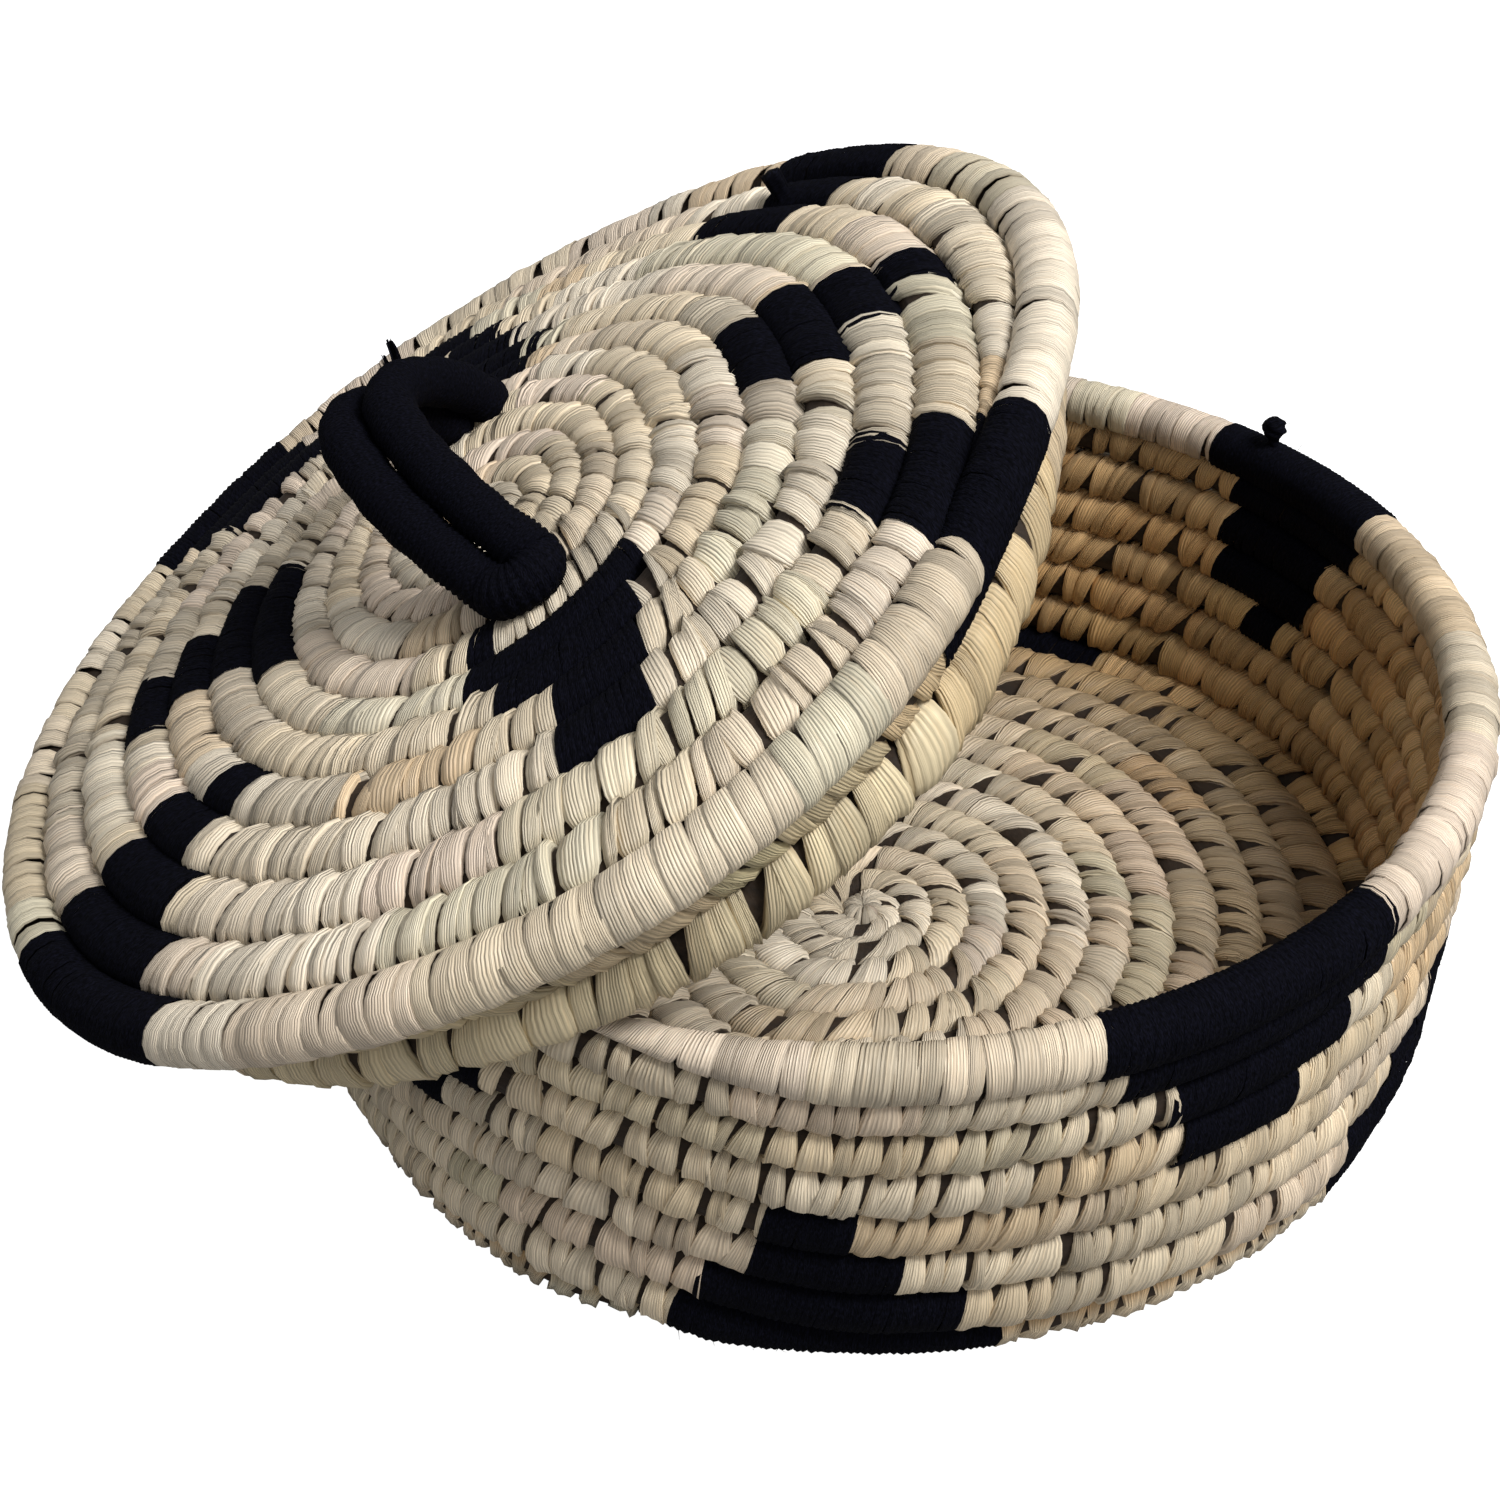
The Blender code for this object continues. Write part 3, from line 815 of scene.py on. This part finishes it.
def brown_grass():
    """Brown blades that run along the bundle, darker than their own colour as painted shade in the
    gaps between strips.
    """
    grass = Material("brown grass bundle", 0.8)
    across, along = grass.map()
    blades = grass.noise(across * 1400.0, along * 14.0, 0.0, detail=2.0)
    grass.feed("Base Color", grass.mix(blades, GRASS_DARK_SHADED, GRASS_PALE_SHADED))
    grass.bump(blades, 0.9, 0.0006)
    return grass.material


# A finish is one of the record's slots and a material
LEAF = ("palm_leaf", palm_leaf())
YARN = ("black_yarn", black_yarn())
GRASS = ("palm_leaf", brown_grass())


def strip_places(cord, start, end, width, spread):
    """Where strips lie along a cord: their turns and widths, from one turn to another."""
    samples = 4000
    turns = np.linspace(start, end, samples)
    radii = cord.radius(turns)
    steps = math.tau * (radii[1:] + radii[:-1]) / 2 * np.diff(turns)
    along = np.concatenate([[0], np.cumsum(steps)])
    widths = []
    total = 0.0
    while total < along[-1]:
        widths.append(width * math.exp(spread * random.standard_normal()))
        total += widths[-1]
    widths = np.array(widths) * along[-1] / total
    middles = np.cumsum(widths) - widths / 2
    return np.interp(middles, along, turns), widths


def leaf_tones(count):
    """A tone for each strip. One leaf makes a few strips in a row before the next one is taken."""
    tones = np.zeros((count, 4))
    colours = np.array([tone for tone, _ in LEAF_TONES])
    often = np.array([share for _, share in LEAF_TONES])
    i = 0
    while i < count:
        run = int(random.integers(*STRIPS_OF_A_LEAF))
        colour = colours[random.choice(len(colours), p=often / often.sum())]
        other = colours[random.choice(len(colours), p=often / often.sum())]
        share = random.uniform(0, MOST_OF_OTHER)
        tones[i : i + run, :3] = colour * (1 - share) + other * share
        i += run
    mean = (colours * often[:, None]).sum(0)
    tones[:, :3] = tones[:, :3] * TONE_STRENGTH + mean * (1 - TONE_STRENGTH)
    tones[:, :3] *= random.uniform(*BRIGHTNESS, (count, 1))
    tones[:, 3] = random.uniform(0, 1, count)
    return tones


def wrap_strips(cord, turns, widths, look, grid, tight=None):
    """Bands round a cord, one for each turn given. The tight ones lie close to the bundle.

    Gives the mesh, which band each vertex is in, the points, and how far each is on the inside.
    """
    columns, rings = grid
    count = len(turns)
    hook_reach, facing_sharpness = 0.25, 4
    mesh, which, across, round_share = repeated_grid(count, columns, rings)
    x = across * 2 - 1
    from_middle = np.abs(x)
    on_edge = from_middle > 0.99
    fold = random.standard_normal((count, columns + 1))
    fold = fold[which, np.rint(across * columns).astype(int)] * look["fold"]
    # The even columns of the grid move out to the creases
    creases = (0, 0.46, look["shoulder"], 1)
    x = np.sign(x) * np.interp(from_middle, (0, 0.34, 0.67, 1), creases)

    # Over is 0 at the foot and 1 at the head, on either face
    inside = round_share < 0.5
    over = np.where(inside, 2 * round_share, 2 * (1 - round_share))
    lean = np.where(inside, look["lean_inside"], look["lean_outside"])
    lean = lean * (1 + look["lean_spread"] * random.standard_normal(count)[which])
    back = look["hook"] * np.where(inside, -1, 1) * np.sign(look["lean_outside"])
    shift = lean * (over - 1) - back * (np.clip(hook_reach - over, 0, 1) / hook_reach) ** 2
    fat_outside = np.interp(over, FAT_AT, look["fat_outside"])
    fat_inside = np.interp(over, FAT_AT, look["fat_inside"])
    half = widths[which] / 2 * np.where(inside, fat_inside, fat_outside)
    turn = turns[which]
    turn_here = turn + (shift + x * half) / (math.tau * cord.radius(turns)[which])

    angle = 1.5 * math.pi - math.tau * round_share
    loose = 1 + look["loose"] * random.standard_normal(count)[which]
    if tight is not None:
        loose = np.where(tight[which], np.minimum(loose, TIGHT), loose)
    tilt = look["tilt"] * random.standard_normal(count)[which]
    rise = look["bulge"] * (1 - x * x) + tilt * x + fold - look["sink"] * on_edge
    size = cord.half_width(turn)
    rise = rise * np.minimum(size / FULL_HALF_WIDTH, 1)
    high = size * look["high"] * loose + rise
    wide = size * look["wide"] + rise
    wide = np.where(np.sin(angle) < 0, wide + look["foot"], wide)
    points = cord.surface(turn_here, angle, high, wide, look["square"])
    on_inside = np.clip(0.5 - facing_sharpness * np.cos(angle), 0, 1)[:, None]
    return mesh, which, points, on_inside


def bundle(name, cord, start, end, body):
    """The bundle of grass inside a cord, seen in the gaps between the strips."""
    steps_a_turn, rings, high, wide = 72, 10, 0.68, 0.95
    mesh, _, along, round_share = repeated_grid(1, int((end - start) * steps_a_turn), rings)
    turn = start + along * (end - start)
    angle = (1 - round_share) * math.tau
    size = cord.half_width(turn)
    points = cord.surface(turn, angle, size * high, size * wide)
    return finish_piece(name, mesh, points, body, (), GRASS)


def yarn_places(cord, turns, widths, black):
    """Turns and widths of the yarn wraps that fill the black strips, and one more at each end."""
    places, sizes = [], []
    for i in np.flatnonzero(black):
        count = max(round(widths[i] / THREAD), 1)
        first = -1 if i == 0 or not black[i - 1] else 0
        last = count + 1 if i + 1 == len(black) or not black[i + 1] else count
        step = widths[i] / count
        for k in range(first, last):
            offset = (k + 0.5) * step - widths[i] / 2
            places.append(turns[i] + offset / (math.tau * float(cord.radius(turns[i]))))
            sizes.append(step)
    return np.array(places), np.array(sizes)


def black_strips(cord, turns, look, patches):
    """Which strips are in a black patch, by the middle of each on the face that is seen."""
    azimuth = np.degrees(cord.step_azimuth - math.tau * turns) % 360
    seen_inside = (cord.outside < 0) & (azimuth < SEEN_INSIDE)
    lean = np.where(seen_inside, look["lean_inside"], look["lean_outside"])
    middle = turns - lean / 2 / (math.tau * cord.radius(turns))
    azimuth = np.degrees(cord.step_azimuth - math.tau * middle) % 360
    row = cord.rows_from_rim - np.floor(middle + cord.stretch / 2)
    return is_black(patches, row.astype(int), azimuth)


def stitched(name, cord, span, body, nodes, look, strip, patches, tints_and_shade=PLAIN):
    """The leaf strips of a stretch of cord, and the yarn wraps of its patches with their fibres."""
    turns, widths = strip_places(cord, *span, *strip)
    black = black_strips(cord, turns, look, patches)
    leaf = ~black
    by_yarn = np.convolve(black, np.ones(3), "same") > 0
    mesh, which, points, inside = wrap_strips(
        cord, turns[leaf], widths[leaf], look, LEAF_GRID, by_yarn[leaf]
    )
    tones = leaf_tones(len(turns))[leaf][which]
    if cord.outside < 0:
        out_from_middle = cord.radius(turns)[leaf][which] - INSIDE_SHADE_START
        inside = inside * np.clip(out_from_middle / INSIDE_SHADE_REACH, 0, 1)[:, None]
    # The inner tint of the wall and the floor is painted shade
    outer_tint, inner_shade_tint = np.array(tints_and_shade)
    tones[:, :3] *= outer_tint * (1 - inside) + inner_shade_tint * inside
    finish_piece(name, mesh, points, body, nodes, LEAF, tones)
    if not black.any():
        return
    wrap = dict(
        YARN_WRAP,
        lean_outside=look["lean_outside"],
        lean_inside=look["lean_inside"],
        wide=look["wide"] + YARN_WIDER,
        high=look["high"] + YARN_HIGHER,
        square=look["square"],
    )
    places, sizes = yarn_places(cord, turns, widths, black)
    mesh, which, points, _ = wrap_strips(cord, places, sizes, wrap, YARN_GRID)
    tones = own_numbers(random.uniform(0, 1, len(places)))
    yarn = finish_piece(name + "_yarn", mesh, points, body, (), YARN, tones[which])
    fuzz(name + "_fuzz", yarn, len(places), body)


def fuzz(name, yarn, count, body):
    """Loose fibres that stand off a piece of yarn."""
    flat = np.empty((len(yarn.data.vertices), 3))
    yarn.data.vertices.foreach_get("co", flat.reshape(-1))
    normals = np.empty_like(flat)
    yarn.data.vertices.foreach_get("normal", normals.reshape(-1))
    chosen = random.integers(0, len(flat), count)
    roots, out = flat[chosen], normals[chosen]
    length = random.uniform(*FIBRE_LENGTHS, (count, 1))
    length = length * random.choice(FIBRE_STRETCHES, (count, 1))
    along = unit(np.cross(out, random.standard_normal((count, 3))))
    bends = roots + along * length * 0.5 + out * length * random.uniform(*BEND_RISE, (count, 1))
    tips = roots + along * length + out * length * random.uniform(*TIP_RISE, (count, 1))
    tips[:, 2] = np.maximum(tips[:, 2], LOWEST_FIBRE)
    threads(name, roots, tips, bends, FIBRE, body)


def threads(name, roots, tips, bends, width, body):
    """Threads of yarn, each a thin strip from its root over a bend to its tip."""
    taper, number_step = 0.6, 0.37
    mesh, which, across, along = repeated_grid(len(roots), 1, 5)
    rest = (1 - along)[:, None]
    along = along[:, None]
    route = roots[which] * rest**2 + 2 * bends[which] * rest * along + tips[which] * along**2
    reach = tips[which] - roots[which]
    side = unit(np.cross(reach, random.standard_normal((len(roots), 3))[which]))
    points = route + side * (width * (across - 0.5))[:, None] * (1 - taper * along)
    points[:, 2] = np.maximum(points[:, 2], LOWEST_FIBRE)
    tones = own_numbers((which * number_step) % 1)
    return finish_piece(name, mesh, points, body, (), YARN, tones)


def knot_leaf(name, middle, place, body, node):
    """A button of strips that all meet in the middle, at the start of a winding."""
    strips, overlap, askew, radius, rise = 13, 1.08, 0.2, 0.0052, 0.0042
    bulge, sink, uneven, fullness = 0.00035, 0.0008, 0.0003, 0.8
    eye, dimple, dimple_radius = 0.0002, 0.0012, 0.0016
    mesh, which, across, along = repeated_grid(strips, 3, 12)
    azimuth = math.tau * (which + random.uniform(-askew, askew, strips)[which]) / strips
    azimuth += (across - 0.5) * math.tau / strips * overlap
    angle = math.pi * along
    x = 2 * across - 1
    lift = bulge * (1 - x * x) - sink * (np.abs(x) > 0.99)
    lift += uneven * random.standard_normal(strips)[which] * np.sin(angle)
    away = (radius + lift) * np.sin(angle) ** fullness + eye
    height = middle + (rise + lift) * np.cos(angle)
    height -= dimple * np.exp(-((away / dimple_radius) ** 2)) * np.sign(np.cos(angle))
    points = place(round_axis(away, azimuth, height))
    return finish_piece(name, mesh, points, body, (node,), LEAF, leaf_tones(strips)[which])


def make_basket():
    """The floor, the wall and the rim of the basket, one cord."""
    length = CORNER_START + CORNER_RADIUS * WALL_LEAN + WALL_LENGTH
    cord = Cord(
        basket_profile, length, BASKET_CORD, BASKET_STEP_AZIMUTH,
        settle=CORNER_START / (BASKET_CORD + TURN_GAP), outside=-1, place=basket_place,
        stretch=BASKET_STEP_STRETCH, moves=BASKET_ROW_MOVES, rows_past=0,
    )
    floor_end = cord.rows - WALL_ROWS
    bundle("basket_grass", cord, START_TURN, cord.rows + BUNDLE_RUN, "basket")
    knot_leaf("floor_knot_leaf", BASKET_CORD / 2, basket_place, "basket", "floor_start_knot")
    stitched("floor_leaf", cord, (START_TURN, floor_end), "basket", ("floor_coil",),
             BASKET_LEAF, FLOOR_STRIP, BASKET_PATCHES, FLOOR_INSIDE_SHADE)
    stitched("wall_leaf", cord, (floor_end, cord.rows), "basket", ("wall_coil",),
             BASKET_LEAF, WALL_STRIP, BASKET_PATCHES, WALL_TONE_AND_INSIDE_SHADE)
    stitched("rim_leaf", cord, (cord.rows, cord.rows + RIM_LEAF_RUN), "basket", ("rim_coil",),
             RIM_LEAF, RIM_STRIP, BASKET_PATCHES)


def make_lid():
    """The dome of the lid, one cord, and the ring that makes its rim and its collar."""
    cord = Cord(
        lid_profile, LID_LAST_ROW, LID_CORD, LID_STEP_AZIMUTH,
        settle=LID_LAST_ROW / (LID_CORD + TURN_GAP), outside=1, place=lid_place,
        stretch=LID_STEP_STRETCH, moves=LID_ROW_MOVES, rows_past=1,
    )
    lid_end = cord.rows + BUNDLE_RUN
    bundle("lid_grass", cord, START_TURN, lid_end, "lid")
    knot_leaf("lid_knot_leaf", LID_DOME, lid_place, "lid", "lid_start_knot")
    stitched("lid_leaf", cord, (START_TURN, lid_end), "lid", ("lid_coil",),
             LID_LEAF, LID_STRIP, LID_PATCHES)

    ring = Ring(lid_place)
    bundle("lid_rim_grass", ring, RING_GRASS_START, RING_END, "lid")
    stitched("lid_rim_leaf", ring, LID_RIM_LEAF_SPAN, "lid", ("lid_rim_coil",),
             LID_RIM_LEAF, LID_RIM_STRIP, RING_PATCHES)
    stitched("collar_upper_leaf", ring, UPPER_LEAF_SPAN, "lid", ("collar_coil",),
             UPPER_LEAF, UPPER_STRIP, {}, COLLAR_TINTS)
    stitched("collar_lower_leaf", ring, LOWER_LEAF_SPAN, "lid", (),
             LOWER_LEAF, LOWER_STRIP, {}, COLLAR_TINTS)


def handle_route(count):
    """The closed loop of the handle's rope, as in the solids, evenly spaced, and its length."""
    arch_steps, end_steps, smoothings = 40, 12, 6
    half = HANDLE_SPAN / 2
    apart = (HANDLE_ROPE + 2 * TURN_GAP) / 2
    foot = lid_profile(half + apart)[1] + (LID_CORD + HANDLE_ROPE) / 2 * OVER_FLATS + SEWN_GAP
    path = []
    shares = [-1 + 2 * i / arch_steps for i in range(arch_steps + 1)]
    for side, order in ((-1, shares), (1, shares[::-1])):
        for share in order:
            arch = (1 - share**2) ** HANDLE_ARCH_POWER
            lean, rise = HANDLE_LEAN * arch, HANDLE_RISE * arch
            path.append((side * apart + lean, share * half, foot + rise))
        for i in range(1, end_steps):
            angle = math.pi * i / end_steps
            beyond = -side * (half + math.sin(angle) * apart)
            path.append((side * math.cos(angle) * apart, beyond, foot))
    turn = np.array(Matrix.Rotation(HANDLE_TURN, 3, "Z"))
    path = np.array(path) @ turn.T + np.array([*HANDLE_MIDDLE, 0])
    closed = np.vstack([path, path[:1]])
    along = np.concatenate([[0], np.cumsum(np.linalg.norm(np.diff(closed, axis=0), axis=1))])
    even = along_route(np.linspace(0, along[-1], count + 1), along, closed)

    # The far end lies lower and closer together than the near one
    far = np.clip(even[:, 1:2] / half, 0, 1)
    right = np.clip(even[:, :1] / apart, 0, 1)
    even = even + np.array(HANDLE_MOVE) + far * np.array(HANDLE_FAR_MOVE)
    even[:, :1] -= HANDLE_FAR_PINCH * right * far**2
    loop = even[:-1]
    for _ in range(smoothings):
        loop = (np.roll(loop, 1, 0) + 2 * loop + np.roll(loop, -1, 0)) / 4
    return np.vstack([loop, loop[:1]]), along[-1]


def make_handle():
    """Yarn wound round a rope, each turn of the yarn a ridge, and the yarn's loose ends."""
    route_steps, columns_a_wrap, rings = 400, 5, 20
    swell, groove, ridge = 1.1, 0.35, 0.38
    route, length = handle_route(route_steps)
    wraps = round(length / THREAD)
    mesh, _, share, round_share = repeated_grid(1, wraps * columns_a_wrap, rings)
    uvs = np.empty(len(mesh.loops) * 2)
    mesh.uv_layers["UVMap"].data.foreach_get("uv", uvs)
    uvs[::2] *= wraps
    mesh.uv_layers["UVMap"].data.foreach_set("uv", uvs)

    marks = np.arange(len(route))
    along = share * route_steps
    centre = along_route(along, marks, route)
    tangent = unit(along_route((along + 1) % route_steps, marks, route) - centre)
    side = unit(np.cross(tangent, np.array([0, 0, 1.0])))
    up = np.cross(side, tangent)
    phase = share * wraps + round_share
    lumps = 1 + 0.03 * np.sin(phase * 0.9) + 0.02 * np.sin(phase * 0.37 + 1)
    size = (HANDLE_ROPE / 2 * swell - THREAD * groove) * lumps
    size = size + THREAD * ridge * np.abs(np.sin(math.pi * phase))
    angle = math.tau * round_share
    points = centre + (side * np.cos(angle)[:, None] - up * np.sin(angle)[:, None]) * size[:, None]
    tones = own_numbers(np.full(len(points), 0.5))
    handle = finish_piece(
        "handle_yarn", mesh, lid_place(points), "lid", ("handle_rope",), YARN, tones
    )
    fuzz("handle_fuzz", handle, HANDLE_FIBRES, "lid")

    for number, (root, reach, strands) in enumerate(HANDLE_WISPS, 1):
        roots = np.array(root) + random.uniform(-1, 1, (strands, 3)) * np.array(WISP_SCATTER)
        tips = roots + np.array(reach) * random.uniform(0.8, 1, (strands, 1))
        bends = (roots + tips) / 2 + random.uniform(0.2, 1, (strands, 1)) * np.array(WISP_BEND)
        threads(f"handle_end_{number}", lid_place(roots), lid_place(tips), lid_place(bends),
                THREAD, "lid")


def finish_knot(node, mesh, points, body, fibres):
    """A knot of yarn with its loose fibres, in place of its node."""
    tones = own_numbers(np.full(len(points), 0.5))
    yarn = finish_piece(node + "_yarn", mesh, points, body, (node,), YARN, tones)
    fuzz(node + "_fuzz", yarn, fibres, body)


def make_knots():
    """The ball of yarn on the basket's rim and the cut stub on the lid."""
    ball_share, stalk_top = 0.86, 0.8
    strands, depth, twist = 3, 0.12, 2500
    mesh, _, across, along = repeated_grid(1, 24, 24)
    turn = math.tau * across
    is_ball = along < 0.5
    down_ball = np.clip(along / 0.5, 0, 1) * math.pi * ball_share
    radius = np.where(is_ball, RIM_KNOT_BALL * np.sin(down_ball), RIM_KNOT_STALK)
    height = np.where(
        is_ball,
        RIM_KNOT_BALL_HEIGHT + RIM_KNOT_BALL * np.cos(down_ball),
        (RIM_KNOT_BALL_HEIGHT - RIM_KNOT_RADIUS * stalk_top) * (1 - along) * 2,
    )
    radius = radius * (1 + depth * np.sin(turn * strands + height * twist))
    foot = round_axis(RIM_RADIUS, RIM_KNOT_AZIMUTH, RIM_KNOT_FOOT)
    points = foot + round_axis(radius, turn, height)
    finish_knot("rim_knot", mesh, points, "basket", RIM_KNOT_FIBRES)

    away = LID_RADIUS - LID_KNOT_INSET
    strands, depth, sunk = 5, 0.10, 0.8
    mesh, _, across, along = repeated_grid(1, 24, 16)
    turn = math.tau * across
    radius = LID_KNOT_RADIUS * np.interp(along, (0, 0.001, 0.2, 0.8, 1), (0, 0.9, 1.0, 0.9, 1.0))
    radius = radius * (1 + depth * np.sin(turn * strands))
    height = lid_profile(away)[1] + LID_CORD / 2 * sunk + LID_KNOT_HEIGHT * (1 - along)
    foot = round_axis(away, LID_KNOT_AZIMUTH, 0)
    points = lid_place(foot + round_axis(radius, turn, height))
    finish_knot("lid_knot", mesh, points, "lid", LID_KNOT_FIBRES)


def make_camera():
    """The camera, at the photograph's viewing angle."""
    forward = Vector((
        math.sin(CAMERA_YAW) * math.cos(CAMERA_PITCH),
        math.cos(CAMERA_YAW) * math.cos(CAMERA_PITCH),
        -math.sin(CAMERA_PITCH),
    ))
    level = forward.cross(Vector((0, 0, 1))).normalized()
    upright = level.cross(forward)
    right = level * math.cos(CAMERA_ROLL) + upright * math.sin(CAMERA_ROLL)
    up = -level * math.sin(CAMERA_ROLL) + upright * math.cos(CAMERA_ROLL)
    camera = add_object("camera", bpy.data.cameras.new("camera"))
    camera.matrix_world = Matrix((
        (right.x, up.x, -forward.x, CAMERA_PLACE[0]),
        (right.y, up.y, -forward.y, CAMERA_PLACE[1]),
        (right.z, up.z, -forward.z, CAMERA_PLACE[2]),
        (0, 0, 0, 1),
    ))
    camera.data.lens = CAMERA_LENS
    camera.data.sensor_width = CAMERA_SENSOR
    bpy.context.scene.camera = camera


def make_stage():
    """A floor that the camera sees as white, plain light from all round, and one soft lamp."""
    bm = bmesh.new()
    bmesh.ops.create_grid(bm, x_segments=1, y_segments=1, size=FLOOR_SIZE)
    mesh = bpy.data.meshes.new("floor")
    bm.to_mesh(mesh)
    bm.free()
    floor = add_object("floor", mesh)
    white = Material("white floor", 0.9)
    white.shader.inputs["Base Color"].default_value = (FLOOR_TONE, FLOOR_TONE, FLOOR_TONE, 1)
    white.shader.inputs["Emission Color"].default_value = (1, 1, 1, 1)
    rays = white.node("ShaderNodeLightPath", {}, {})
    white.feed("Emission Strength", white.out(rays, "Is Camera Ray"))
    mesh.materials.append(white.material)

    world = bpy.data.worlds.new("world")
    bpy.context.scene.world = world
    world.use_nodes = True
    background = world.node_tree.nodes["Background"]
    background.inputs["Color"].default_value = (1, 1, 1, 1)
    background.inputs["Strength"].default_value = WORLD_LIGHT

    light = bpy.data.lights.new("key", "AREA")
    light.shape = "DISK"
    light.size = LAMP_SIZE
    light.energy = LAMP_POWER
    lamp = add_object("key", light)
    lamp.location = LAMP_PLACE
    aim = Vector(LAMP_AIM) - Vector(LAMP_PLACE)
    lamp.rotation_euler = aim.to_track_quat("-Z", "Y").to_euler()


make_basket()
make_lid()
make_handle()
make_knots()
make_camera()
make_stage()
bpy.context.scene.view_settings.view_transform = "Standard"

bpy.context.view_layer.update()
